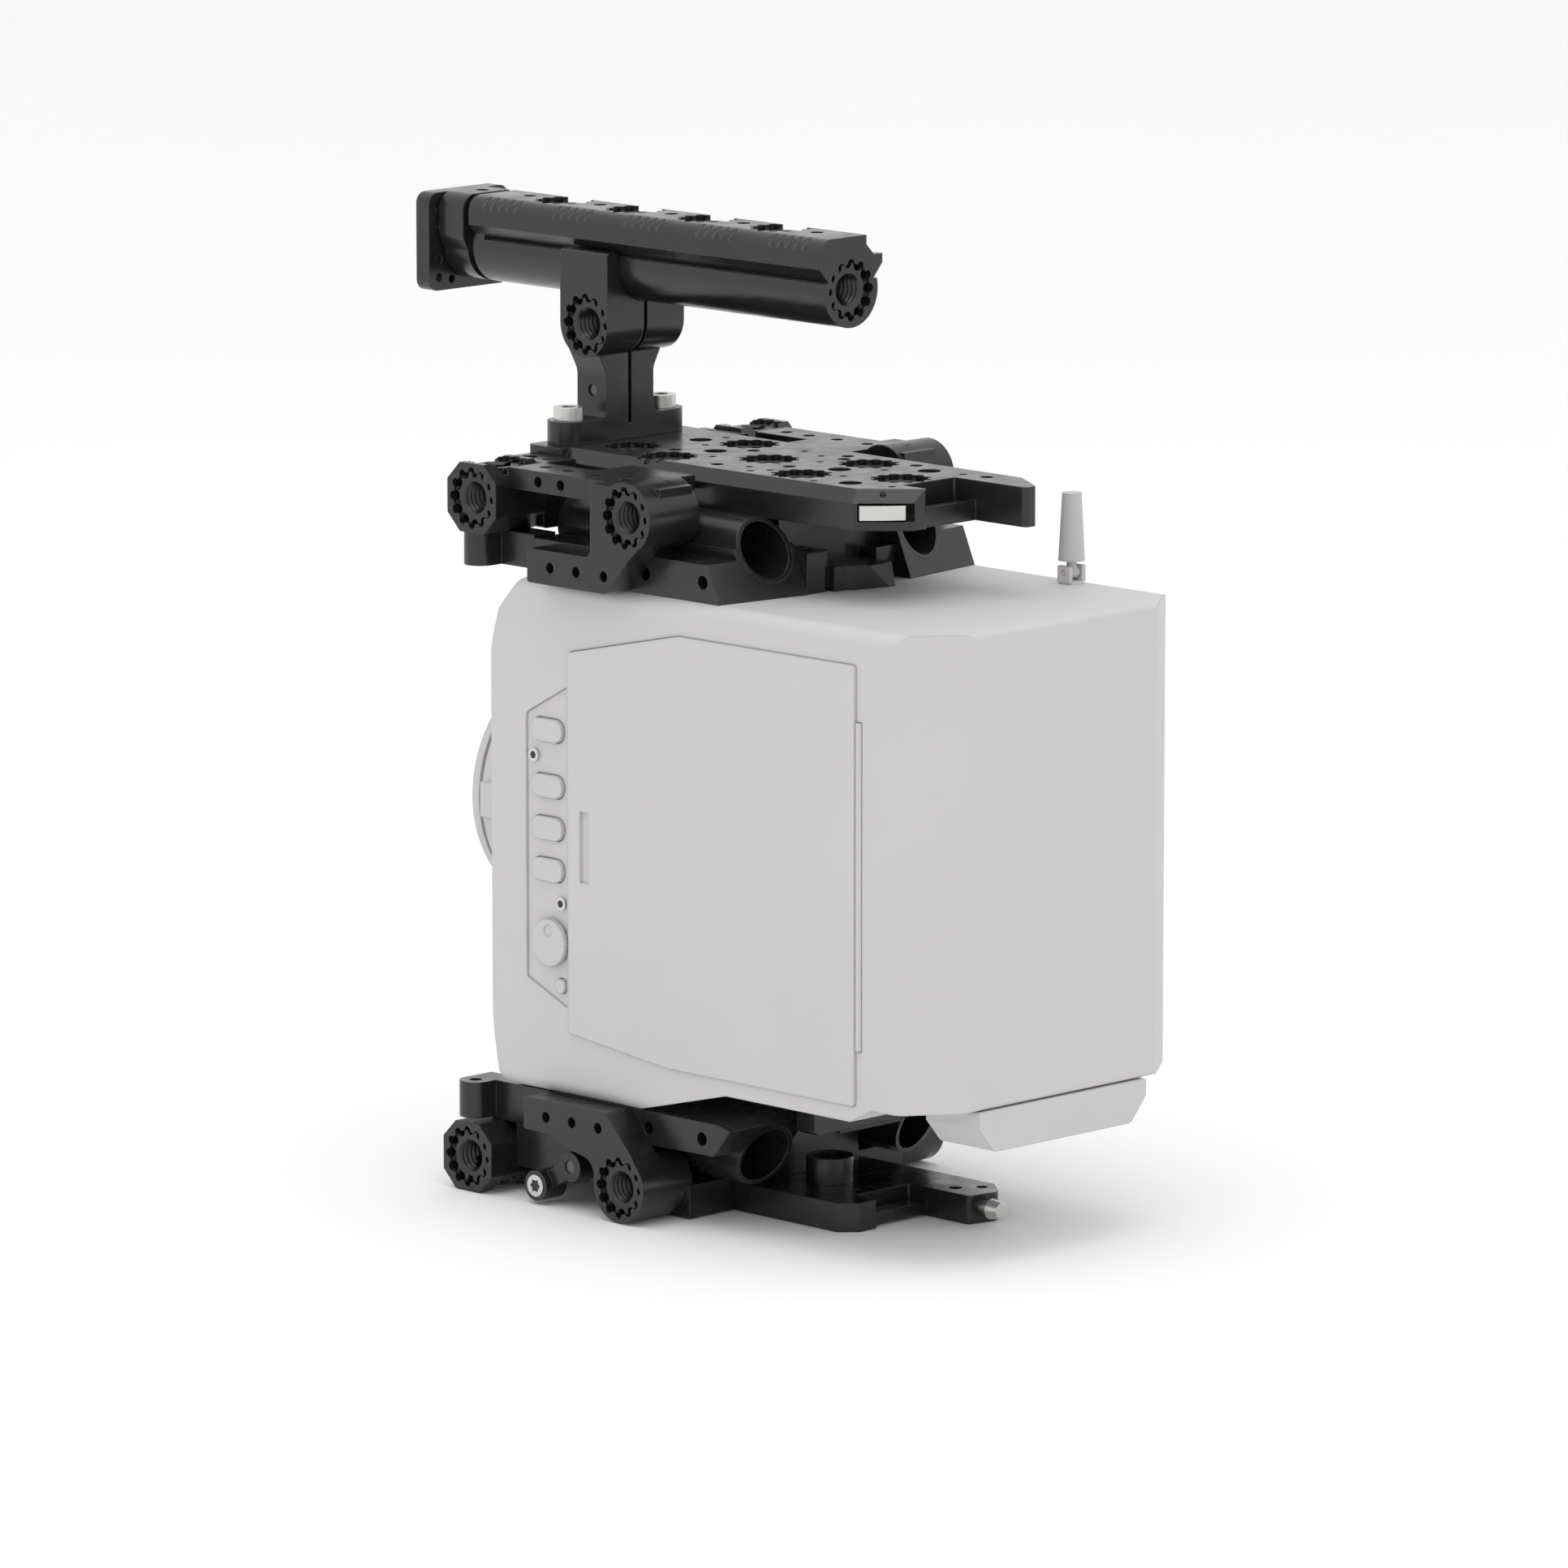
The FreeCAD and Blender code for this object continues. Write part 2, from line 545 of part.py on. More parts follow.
def make_top_plate(riser_middle):
    """The drilled top plate with its bevelled edge, rear notch and tail."""
    low = d.plate_top - d.plate_thick
    front_half = d.plate_half_front
    rear_half = d.plate_half_rear
    cut_in = d.corner_cut
    outline = [
        (-front_half, d.plate_front, 2), (front_half, d.plate_front, 2),
        (rear_half, d.plate_rear - cut_in), (rear_half - cut_in, d.plate_rear),
        (d.notch_left, d.plate_rear, 0.8), (d.notch_left, d.notch_floor, 0.8),
        (d.notch_right, d.notch_floor, 0.8), (d.notch_right, d.tail_rear, 1.5),
        (d.notch_right - 4, d.tail_rear, 1.5), (-rear_half, d.plate_rear + 2.5, 2)]
    slab = prism("top_plate_slab", "xy", low, d.plate_top, outline)
    tie = box("top_plate_tie", d.notch_right - 0.5, d.notch_left + 0.5, d.notch_floor + 5.4,
              d.plate_rear - 1.5, low, low + 5.5)
    solid = fuse("top_plate_solid", [slab, tie])
    cuts = []
    bevel = d.plate_bevel
    lean = math.degrees(((front_half - rear_half) / (d.plate_rear - d.plate_front)).value)
    for side in (-1, 1):
        word = "left" if side > 0 else "right"
        wedge = fuse(f"top_bevel_{word}", [edge_wedge(f"top_bevel_{word}_wedge", 14, 170),
                                           edge_wedge(f"top_bevel_{word}_start", 14, 20)])
        turn = lean if side > 0 else 180 - lean
        base_y = d.plate_front if side > 0 else d.plate_rear + 46.5
        place(wedge, front_half * side, base_y, d.plate_top, Rotation(Vector(0, 0, 1), turn))
        cuts.append(wedge)
    for x, y in ((9.4, -38.5), (16, -17.6), (-16, -17.6), (0, 6.2), (13.2, 32), (-13.2, 32), (0, 57.2)):
        cuts.append(pattern(SHALLOW, "+z", x, y, d.plate_top))
    for x, y in ((0, -15), (0, 33.6), (-15.4, 53), (15.4, 53), (-12, -33)):
        cuts.append(drill("+z", 3.3, x, y, d.plate_top, d.plate_thick + 1))
    small = ((-8, -8), (8, -8), (-17, 3), (17, 3), (-14, 12.5), (14, 12.5), (-19, 18), (19, 18),
             (-6, 20), (6, 20), (-8, 43), (8, 43), (-20, 43.5), (20, 43.5), (-17.5, 64), (-18.4, 72),
             (12.5, 66), (-6, -25), (6, -25), (-20, -31), (20, -31), (-14.5, 21), (14.5, 21))
    for index, (x, y) in enumerate(small):
        cuts.append(drill("+z", 1.1 if index % 3 else 1.9, x, y, d.plate_top, 6))
    for side in (-1, 1):
        cuts.append(drill("+z", d.bolt_shank + 0.1, d.bolt_x * side, riser_middle, d.plate_top, 7))
    corner = d.plate_rear - cut_in / 2
    across = rear_half - cut_in / 2
    latch_place = Placement(Vector(across.value, corner.value, low.value + 5), Rotation(Vector(0, 0, 1), -45))
    slot = fuse("latch_slot", [box("latch_slot_room", -8.6, 7, -9.3, 2, -2.5, 2.5),
                               rod("latch_spring_room", "y", 1.6, 0, -12, 0, 4)])
    slot.Placement = latch_place
    cuts.append(slot)
    corner_bevel = fuse("top_bevel_corner", [edge_wedge("top_bevel_corner_wedge", -12, 12),
                                             edge_wedge("top_bevel_corner_middle", -4, 4)])
    corner_bevel.Placement = Placement(Vector(across.value, corner.value, d.plate_top.value),
                                       Rotation(Vector(0, 0, 1), 45))
    cuts.append(corner_bevel)
    cuts += rod_clearance("top_plate_room", d.rod_z)
    cuts.append(drill("+z", 0.8, across - 1.6, corner - 1.6, d.plate_top, 2))
    node("top_plate", cut("top_plate", solid, cuts))
    latch = prism("top_latch_block", "xy", -2.0, 2.0, [
        (-6.5, -6), (6.6, -6), (6.6, 1.3, 0.8), (0, 1.1), (-6.5, 0.4, 1.6)])
    nose = rod("top_latch_spring_seat", "y", 1.5, 0, -6.5, 0, 1)
    latch_solid = fuse("top_latch", [latch, nose])
    latch_solid.Placement = latch_place
    node("top_latch", latch_solid)


def cube(name, y, z):
    """A corner block: a bevelled cube with a locating pattern through it."""
    half = d.cube_side / 2
    bevel = d.cube_bevel
    inner = d.cube_out - d.cube_side
    points = []
    for sy, sz in ((-1, -1), (1, -1), (1, 1), (-1, 1)):
        near = (y + (half - bevel) * sy, z + half * sz)
        far = (y + half * sy, z + (half - bevel) * sz)
        points.extend([far, near] if sy * sz > 0 else [near, far])
    solid = prism(name + "_body", "yz", inner, d.cube_out, points)
    return solid


def make_cubes(level, y, z, facing):
    """The left and right corner blocks of one cage."""
    half = d.cube_side / 2
    middle_x = d.cube_out - half
    face = z + half if facing == "+z" else z - half
    for side, word in ((1, "left"), (-1, "right")):
        name = f"{level}_corner_block_{word}"
        solid = cube(name, y, z)
        if side < 0:
            solid = mirrored(name + "_mirror", solid)
        outward = "+x" if side > 0 else "-x"
        cuts = [pattern(THROUGH, outward, d.cube_out * side, y, z),
                pattern(SHALLOW, facing, middle_x * side, y, face)]
        node(name, cut(name, solid, cuts))


def make_top_bracket(word, side):
    """A side bracket: lower bar, upright and threaded boss."""
    name = f"top_side_bracket_{word}"
    plate = prism(name + "_plate", "yz", d.bracket_in, d.cube_out, [
        (d.bar_front, d.bar_low, 0.8), (2.6, d.bar_low, 2), (d.boss_y + 1, d.boss_z - 12, 3),
        (d.boss_y + 6, d.boss_z - 7.5), (d.boss_y, d.boss_z + 3), (d.boss_y, d.plate_top - 1.6),
        (d.boss_y - 13.5, d.plate_top - 1.6), (d.boss_y - 13.5, d.bar_high, 2.2), (d.bar_front, d.bar_high, 0.8)])
    boss = rod(name + "_boss", "x", d.boss_radius, 40.5, d.boss_y, d.boss_z, d.cube_out - 40.5)
    rail = box(name + "_rail", 41.5, 54, d.cube_y + d.cube_side / 2 + 0.02, d.boss_y + 8, 199.5, 205.4)
    inner = box(name + "_web", 41.5, d.bracket_in + 0.5, d.boss_y - 13.5, d.boss_y, d.arm_top + 0.05, 203)
    tab = box(name + "_tab", 27.6, 42, -20, d.boss_y - 5, 201.2, 205.4)
    solid = fuse(name + "_solid", [plate, boss, rail, inner, tab])
    if side < 0:
        solid = mirrored(name + "_mirror", solid)
    outward = "+x" if side > 0 else "-x"
    cuts = [pattern(SHALLOW, outward, d.cube_out * side, d.boss_y, d.boss_z)]
    for y in (-19.5, -9.2, 1.7):
        cuts.append(drill(outward, 1.55, d.cube_out * side, y, 180.2, 5))
    for y in (-30, -21):
        cuts.append(drill(outward, 1.5, 54 * side, y, 202.4, 3))
    for y in (-34, -25, -14, -2, 12):
        cuts.append(drill("+z", 1.8, 47 * side, y, 205.4, 2.2))
    node(name, cut(name, solid, cuts))


def make_foot(word, side):
    """The lug below a top corner block."""
    name = f"top_foot_{word}"
    top = d.cube_z - d.cube_side / 2 - 0.02
    low = top - 9.6
    peg = rod(name + "_peg", "z", 4.6, 53.4, d.cube_y - 3, low, top - low)
    arm = box(name + "_arm", 41.5, 53.4, d.cube_y - 7.6, d.cube_y + 1.6, low, top)
    heel = box(name + "_heel", 41.5, 49.6, d.cube_y, d.arm_front - 0.05, low, top)
    solid = fuse(name + "_solid", [peg, arm, heel])
    if side < 0:
        solid = mirrored(name + "_mirror", solid)
    node(name, cut(name, solid, [drill("-z", 1.6, 53.4 * side, d.cube_y - 3, low, 6)]))


def make_top_crossbar():
    """The bar across the front, under the plate, between the two corner blocks."""
    inner = d.cube_out - d.cube_side - 0.02
    half = d.plate_half_front + 0.05
    low = d.cube_z - d.cube_side / 2
    high = d.plate_top - d.plate_thick
    bar = prism("crossbar_body", "xz", d.cube_y - 8.2, d.cube_y + 8.6, [
        (-inner, low, 1), (inner, low, 1), (inner, 205, 1), (half + 0.1, 205, 1), (half + 0.1, high),
        (-half - 0.1, high), (-half - 0.1, 205, 1), (-inner, 205, 1)])
    cuts = []
    for side in (-1, 1):
        cuts.append(drill("+y", 1.7, 34 * side, d.cube_y + 8.6, 198.5, 4))
        cuts.append(drill("+z", 2.6, 34.4 * side, d.cube_y - 3, 205, 1.4))
        cuts.append(drill("+z", 1.5, 34.4 * side, d.cube_y + 4, 205, 4))
    node("top_crossbar", cut("top_crossbar", bar, cuts))


def rear_trim(name, side, rise, z):
    """Everything behind the slanting plane that ends the rod tubes and the arms round them."""
    behind = fuse(name, [box(name + "_block", -40, 40, 0, 60, -40, 40),
                         box(name + "_back", -40, 40, 50, 70, -40, 40)])
    normal = Vector(d.rod_slant.value * side, 1, d.rod_rake.value * rise)
    return place(behind, d.rod_x * side, d.rod_rear, z, Rotation(Vector(0, 1, 0), normal))


def make_rods(level, z):
    """The two tubes that take 15 mm support rods, cut slanting at the rear."""
    for side, word in ((1, "left"), (-1, "right")):
        name = f"{level}_rod_tube_{word}"
        length = d.rod_rear + 8 - d.rod_front
        x = d.rod_x * side
        outer = rod(name + "_outer", "y", d.rod_outer, x, d.rod_front, z, length)
        bore = rod(name + "_bore", "y", d.rod_bore, x, d.rod_front - 1, z, length + 2)
        lip = taper(name + "_lip", "y", d.rod_bore + 0.8, d.rod_bore, x, d.rod_front - 0.01, z, 0.8)
        node(name, cut(name, outer, [bore, lip, rear_trim(name + "_trim", side, 1 if level == "top" else -1, z)]))


def rod_clearance(name, z):
    """Room for the two rod tubes in the piece that carries them."""
    room = []
    for side in (-1, 1):
        room.append(rod(f"{name}_{'left' if side > 0 else 'right'}", "y", d.rod_outer + d.rod_fit,
                        d.rod_x * side, d.rod_front - 20, z, 130))
    return room


def make_top_base():
    """The base that sits on the camera and carries the top plate and rod tubes."""
    low = d.body_top
    high = d.plate_top - d.plate_thick
    core = box("top_core", -20, 20, -40, 30, low, high)
    step = prism("top_step", "xy", low, low + 11.3, [
        (19.98, 20), (19.98, 41), (13, 41), (10.6, 39.8, 1.5), (10.6, 20)])
    shoulder = prism("top_shoulder", "xy", low, low + 9, [
        (-19.98, 20), (-19.98, 36), (-12, 36), (-9, 20)])
    foot = prism("top_heel", "yz", -8.1, 11, [
        (20, low), (47.2, low), (45.6, low + 6.8, 0.8), (20, low + 6.8)])
    solid = fuse("top_base_solid", [core, step, shoulder, foot])
    cuts = rod_clearance("top_base_room", d.rod_z)
    cuts.append(prism("top_heel_slant", "xy", low - 1, low + 9, [
        (-8.2, 49), (-8.2, 47.4), (-6, 47.2), (5, 44.6, 2), (7, 43, 2), (11.1, 42.6), (11.1, 49)]))
    cuts.append(drill("+z", 2.4, 15.4, 35.6, low + 11.3, 5))
    node("top_base", cut("top_base", solid, cuts))
    for side, word in ((1, "left"), (-1, "right")):
        name = f"top_arm_{word}"
        arm = prism(name + "_body", "yz", 20.05, d.bracket_in - 0.02, [
            (d.arm_front, low, 0.5), (60, low), (60, d.arm_top), (d.arm_front, d.arm_top)])
        collar = rod(name + "_collar", "y", d.rod_outer + 1.1, d.rod_x, 4, d.rod_z, 50)
        arm = fuse(name + "_solid", [arm, cut(name + "_half_collar", collar, [
            box(name + "_collar_top", 10, 60, 0, 70, d.rod_z + 1, d.rod_z + 20)])])
        if side < 0:
            arm = mirrored(name + "_mirror", arm)
        outward = "+x" if side > 0 else "-x"
        cuts = [drill(outward, 1.9, 49.98 * side, y, low + 5.6, 5) for y in (8.2, 30.6)]
        cuts.append(box(name + "_web_room", 41.4 * side if side > 0 else -51, 51 if side > 0 else -41.4,
                        d.boss_y - 14, d.boss_y + 12, d.arm_top + 0.05, d.arm_top + 20))
        cuts.append(rear_trim(name + "_trim", side, 1, d.rod_z))
        node(name, cut(name, arm, rod_clearance(name + "_room", d.rod_z) + cuts))


# --------------------------------------------------------------------------------------
# Camera body
# --------------------------------------------------------------------------------------
THROAT_STEP = 1.5
HINGE = (52.4, 93.1, 0.95)
HINGE_LOW, HINGE_HIGH = 60, 150
PANEL_DEPTH = 1.0
PANEL_RECESS = 0.6
DOOR_THICK = 2.2
DOOR_PROUD = 0.8
BUTTON_HEIGHTS = (133.1, 117.4, 105.5, 93.8)
KNOB = (-26.4, 73.6, 6.6)
LOCK = (-22.9, 61.6, 2.0)


def panel_outline(grow):
    """Outline of the control strip on the left side, grown by a clearance."""
    return [(-36.6 - grow, 62.6 - grow / 2, 1), (-36.6 - grow, 137.2 + grow / 2, 2),
            (-20.4 + grow, 146 + grow), (-20.4 + grow, 55.6 - grow)]


def door_outline(grow):
    """Outline of the left side door, grown by a clearance."""
    return [(-19.2 - grow, 49 - grow, 1), (-19.2 - grow, 156 + grow, 1), (24, 165.5 + grow, 2),
            (92 + grow, 165.5 + grow, 1), (92 + grow, 44.6 - grow, 1), (20, 44.6 - grow, 2)]


def oval(name, x0, x1, y, z, grow):
    """A push button's oval, its long axis fore and aft."""
    return prism(name, "yz", x0, x1, [
        (y - 6.2 - grow, z - 3.2 - grow, 3.1), (y + 6.2 + grow, z - 3.2 - grow, 3.1),
        (y + 6.2 + grow, z + 3.2 + grow, 3.1), (y - 6.2 - grow, z + 3.2 + grow, 3.1)])


def make_body():
    """The camera body: a bevelled box with a deeper belly at the front."""
    half = d.body_half
    side = prism("body_side", "yz", -half, half, [
        (d.body_front + 4, d.belly_low, 5), (5, d.belly_low, 6), (42, d.belly_mid, 4), (90, d.belly_mid, 1),
        (98, d.body_low, 1), (d.body_rear, d.body_low, 1.5), (d.body_rear, d.body_top, 1.5),
        (d.body_front + 13, d.body_top, 6), (d.body_front + 4, d.body_top - 10, 6),
        (d.body_front, 152), (d.body_front, 53)])
    plan = prism("body_plan", "xy", d.belly_low - 1, d.body_top + 1, [
        (-half, d.body_front - 1, 3), (half, d.body_front - 1, 3),
        (half, d.body_rear - d.rear_bevel_y, 4), (half - d.rear_bevel_x, d.body_rear, 4),
        (d.rear_bevel_x - half, d.body_rear, 4), (-half, d.body_rear - d.rear_bevel_y, 4)])
    front = prism("body_front_shape", "xz", d.body_front - 1, d.body_rear + 1, [
        (-half, d.belly_low, 4), (half, d.belly_low, 4), (half, d.body_top, 3.5), (-half, d.body_top, 3.5)])
    shaped = doc.addObject("Part::MultiCommon", "body_shape")
    shaped.Shapes = [side, plan, front]
    cuts = [
        prism("panel_pocket", "yz", half - PANEL_DEPTH - PANEL_RECESS, half + 1, panel_outline(0)),
        prism("door_pocket", "yz", half - DOOR_THICK + DOOR_PROUD - 0.3, half + 5, door_outline(0.1)),
        rod("hinge_groove", "z", HINGE[2] + 0.25, HINGE[0], HINGE[1], HINGE_LOW - 0.2, HINGE_HIGH - HINGE_LOW + 0.4),
        rod("throat", "y", d.mount_bore - THROAT_STEP, 0, d.body_front - 1, d.lens_z, 44),
        box("fan_recess", -half - 1, -half + 1.6, -10, 60, 70, 140),
    ]
    for z in BUTTON_HEIGHTS:
        cuts.append(oval("button_well", half - 4.6, half + 1, d.button_y, z, 0.2))
    cuts.append(drill("+x", KNOB[2] - 3, half, KNOB[0], KNOB[1], 6))
    cuts.append(drill("+x", LOCK[2] + 0.2, half, LOCK[0], LOCK[1], 4.6))
    cuts.append(drill("+z", 3.3, -46, 78, d.body_top, 3))
    node("camera_body", cut("camera_body", shaped, cuts))


def make_left_side():
    """Control strip, push buttons, wheel, lock button, door and screws on the left side."""
    half = d.body_half
    floor = half - PANEL_DEPTH - PANEL_RECESS
    top = half - PANEL_RECESS
    strip = prism("panel_blank", "yz", floor, top, panel_outline(-0.1))
    cuts = [oval("button_hole", floor - 1, top + 1, d.button_y, z, 0.2) for z in BUTTON_HEIGHTS]
    cuts.append(drill("+x", KNOB[2] - 3, top, KNOB[0], KNOB[1], 3))
    cuts.append(drill("+x", LOCK[2] + 0.2, top, LOCK[0], LOCK[1], 3))
    node("side_control_panel", cut("side_control_panel", strip, cuts))
    for number, z in enumerate(BUTTON_HEIGHTS, start=1):
        button = oval(f"user_button_{number}_cap", half - 3.2, half + 0.6, d.button_y, z, 0)
        node(f"user_button_{number}", button)
    wheel = rod("wheel_disc", "x", KNOB[2], half + 0.1, KNOB[0], KNOB[1], 1.6)
    stem = rod("wheel_stem", "x", KNOB[2] - 3.3, half - 4, KNOB[0], KNOB[1], 4.3)
    dimple = drill("+x", 1.6, half + 1.7, KNOB[0], KNOB[1] + 3.4, 0.5)
    node("selector_wheel", cut("selector_wheel", fuse("wheel_solid", [wheel, stem]), [dimple]))
    node("lock_button", rod("lock_button", "x", LOCK[2], half - 3.2, LOCK[0], LOCK[1], 3.7))
    heads = []
    for index, (y, z) in enumerate(((-33.4, 125.6), (-22.7, 84.9))):
        heads.append(screw(f"panel_screw_{index}", "+x", 1.9, size(1.0), top + 0.01, y, z))
    node("panel_screws", group("panel_screws", heads))
    inner = half + DOOR_PROUD - DOOR_THICK
    plate = prism("door_leaf", "yz", inner, half + DOOR_PROUD, door_outline(0))
    barrel = rod("door_barrel", "z", HINGE[2], HINGE[0], HINGE[1], HINGE_LOW, HINGE_HIGH - HINGE_LOW)
    web = box("door_barrel_web", HINGE[0] - 0.35, HINGE[0] + 0.45, 91, HINGE[1], HINGE_LOW, HINGE_HIGH)
    door = fuse("door_plate", [plate, barrel, web])
    pull = box("door_pull", half + DOOR_PROUD - 0.9, half + DOOR_PROUD + 1, -14.4, -11, 92, 112)
    node("side_door", cut("side_door", door, [pull]))


def make_right_side():
    """Fan cover on the right side."""
    half = d.body_half
    cover = box("fan_cover_plate", -half + 0.2, -half + 1.58, -9.7, 59.7, 70.3, 139.7)
    slots = [box("fan_slot", -half - 1, -half + 3, -3, 53, 78 + 7 * step, 81 + 7 * step) for step in range(8)]
    node("fan_cover", cut("fan_cover", cover, slots))


def make_lens_mount():
    """Mount flange, turning lock ring with two tabs, and the sensor cover glass."""
    front = d.body_front
    flange = rod("mount_flange_disc", "y", d.ring_radius + 1.2, 0, front - 9, d.lens_z, 9)
    collar = rod("mount_collar", "y", 30.2, 0, front - 24, d.lens_z, 15.5)
    flange_solid = fuse("mount_flange_solid", [flange, collar])
    flange_cuts = [rod("mount_throat", "y", d.mount_bore, 0, front - 25, d.lens_z, 27)]
    node("lens_mount_flange", cut("lens_mount_flange", flange_solid, flange_cuts))
    ring = rod("lock_ring_disc", "y", d.ring_radius, 0, front - 22, d.lens_z, 12.6)
    tabs = [box(f"lock_tab_{side}", d.ring_radius * side - 4, d.ring_radius * side + 4, front - 21,
                front - 11, d.lens_z - 5, d.lens_z + 5) for side in (-0.93, 0.93)]
    ring_solid = fuse("lock_ring_solid", [ring] + tabs)
    ring_cuts = [rod("lock_ring_bore", "y", size(30.3), 0, front - 24, d.lens_z, 16)]
    for step in range(24):
        angle = math.radians(15 * step + 7.5)
        if abs(math.cos(angle)) < 0.96:
            ring_cuts.append(rod("lock_groove", "y", 1.2, (d.ring_radius + 0.4) * math.cos(angle),
                                 front - 19, d.lens_z + (d.ring_radius + 0.4) * math.sin(angle), 7))
    node("lens_lock_ring", cut("lens_lock_ring", ring_solid, ring_cuts))
    rim = rod("front_rim_disc", "y", d.ring_radius - 0.8, 0, d.ring_front, d.lens_z, front - 24 - d.ring_front)
    node("lens_mount_rim", cut("lens_mount_rim", rim, [rod("front_rim_bore", "y", d.mount_bore + 0.4, 0,
                                                         d.ring_front - 1, d.lens_z, 6)]))
    node("sensor_window", rod("sensor_window", "y", d.mount_bore - THROAT_STEP - 0.06, 0, front + 40.4, d.lens_z, 2.58))


def make_battery_and_antenna():
    """The slide-off battery below the rear, and the folding antenna on top."""
    rear = d.body_rear - 0.2
    low = d.body_low - 12
    block = prism("battery_block", "xz", 99.5, rear, [
        (-33, d.body_low - 0.3, 0.8), (-33, low + 7), (-27, low, 3), (27, low, 3), (33, low + 7),
        (33, d.body_low - 0.3, 0.8)])
    groove = box("battery_groove", -8.3, 8.3, 99, d.body_rear - 4, d.body_low - 2.6, d.body_low + 1)
    node("battery", cut("battery", block, [groove]))
    node("battery_rail", box("battery_rail", -8, 8, 100, d.body_rear - 5, d.body_low - 2.3, d.body_low))
    base = rod("antenna_foot", "z", 3.2, -46, 78, d.body_top - 2.6, 3.4)
    ears = [box(f"antenna_ear_{side}", -46 + side * 2.6 - 0.7, -46 + side * 2.6 + 0.7, 75.8, 80.2,
                d.body_top + 0.4, d.body_top + 5) for side in (-1, 1)]
    ear_solid = fuse("antenna_base_solid", [base] + ears)
    node("antenna_base", cut("antenna_base", ear_solid, [
        rod("antenna_pin_hole", "x", 0.85, -52, 78, d.body_top + 3.1, 12)]))
    knuckle = rod("antenna_knuckle", "x", 1.75, -47.6, 78, d.body_top + 3.1, 3.2)
    pin = rod("antenna_pin", "x", 0.8, -49.2, 78, d.body_top + 3.1, 6.4)
    blade = taper("antenna_blade", "z", 1.5, 1.3, -46, 78, d.body_top + 3.4, 4)
    sleeve = taper("antenna_sleeve", "z", 3.7, 2.7, -46, 78, d.body_top + 6.4, 18.8)
    node("antenna", fuse("antenna", [knuckle, pin, blade, sleeve]))


# --------------------------------------------------------------------------------------
# Bottom cage
# --------------------------------------------------------------------------------------
def make_bottom_plate():
    """The base plate that the rig stands on, with its notch, tail and drilled top."""
    half = 24.5
    slab = prism("bottom_plate_slab", "xy", 0, d.floor_top, [
        (-half, -44, 1), (half, -44, 1), (half, 57), (half - 4.5, 61.5), (13, 61.5, 0.8), (13, 53, 0.8),
        (-8, 53, 0.8), (-8, 76, 1), (-18, 78, 3), (-half, 70, 2)])
    tie = box("bottom_plate_tie", -8.5, 13.5, 55, 60, 0.8, 4)
    ring = rod("bottom_ring", "z", 6.6, 4, 34, d.floor_top - 0.5, 7.6)
    solid = fuse("bottom_plate_solid", [slab, tie, ring])
    cuts = [drill("+z", 4.6, 4, 34, d.floor_top + 7.1, 9)]
    for x, y, radius in ((18, 22, 2.6), (20.5, 12, 1.6), (20, 3, 1.4), (19.5, 31, 1.3), (-13, 66, 1.9),
                         (-19, 70.5, 1.6), (8, 49, 1.2), (-18, 20, 2.6), (-20, 10, 1.6)):
        cuts.append(drill("+z", radius, x, y, d.floor_top, 6))
    for y in (-25, 0, 25):
        cuts.append(drill("-z", 4.0, 0, y, 0, 6.5))
    for x in (-14, 14):
        for y in (-30, 45):
            cuts.append(drill("-z", 2.6, x, y, 0, 5))
    cuts.append(drill("+y", 2.05, -13, 78, 4.2, 12))
    node("bottom_plate", cut("bottom_plate", solid, cuts))
    stem = rod("rear_pin_stem", "y", 2.0, -13, 68, 4.2, 12)
    head = taper("rear_pin_head", "y", 2.9, 2.3, -13, 80, 4.2, 4)
    node("rear_latch_pin", fuse("rear_latch_pin", [stem, head]))


def make_bottom_bracket(word, side):
    """A lower side bracket: top bar, curved leg and threaded boss."""
    name = f"bottom_side_bracket_{word}"
    high = d.belly_low - 0.2
    plate = prism(name + "_plate", "yz", d.bracket_in, d.cube_out, [
        (-30.7, 21.2, 0.8), (-20, 21.2, 6), (-12.5, 18, 5), (-3, 16, 5), (-2.6, 8, 2), (2.5, 1.2),
        (9, 1.2), (15, 8), (12.5, 19, 4), (1.5, high, 3), (-30.7, high, 0.8)])
    boss = rod(name + "_boss", "x", d.boss_radius, 40.5, d.low_boss_y, d.low_boss_z, d.cube_out - 40.5)
    lug = box(name + "_lug", 24.52, 42, -1, 17, 0.15, 9.4)
    solid = fuse(name + "_solid", [plate, boss, lug])
    if side < 0:
        solid = mirrored(name + "_mirror", solid)
    outward = "+x" if side > 0 else "-x"
    cuts = [pattern(SHALLOW, outward, d.cube_out * side, d.low_boss_y, d.low_boss_z)]
    for y in (-21.9, -11.6, -1.2):
        cuts.append(drill(outward, 1.55, d.cube_out * side, y, 25.6, 5))
    cuts += rod_clearance(name + "_room", d.low_rod_z)
    node(name, cut(name, solid, cuts))


def make_post(word, side):
    """The lug above a lower corner block."""
    name = f"bottom_post_{word}"
    low = 20.2
    high = d.belly_low - 0.2
    peg = rod(name + "_peg", "z", 4.6, 53.4, d.low_cube_y - 3, low, high - low)
    arm = box(name + "_arm", 43, 53.4, d.low_cube_y - 7.6, d.low_cube_y + 1.6, low, high)
    heel = box(name + "_heel", 43, 49.9, d.low_cube_y, d.low_cube_y + 24, 19.45, high)
    solid = fuse(name + "_solid", [peg, arm, heel])
    if side < 0:
        solid = mirrored(name + "_mirror", solid)
    node(name, cut(name, solid, [drill("+z", 1.8, 53.4 * side, d.low_cube_y - 3, high, 7)]))


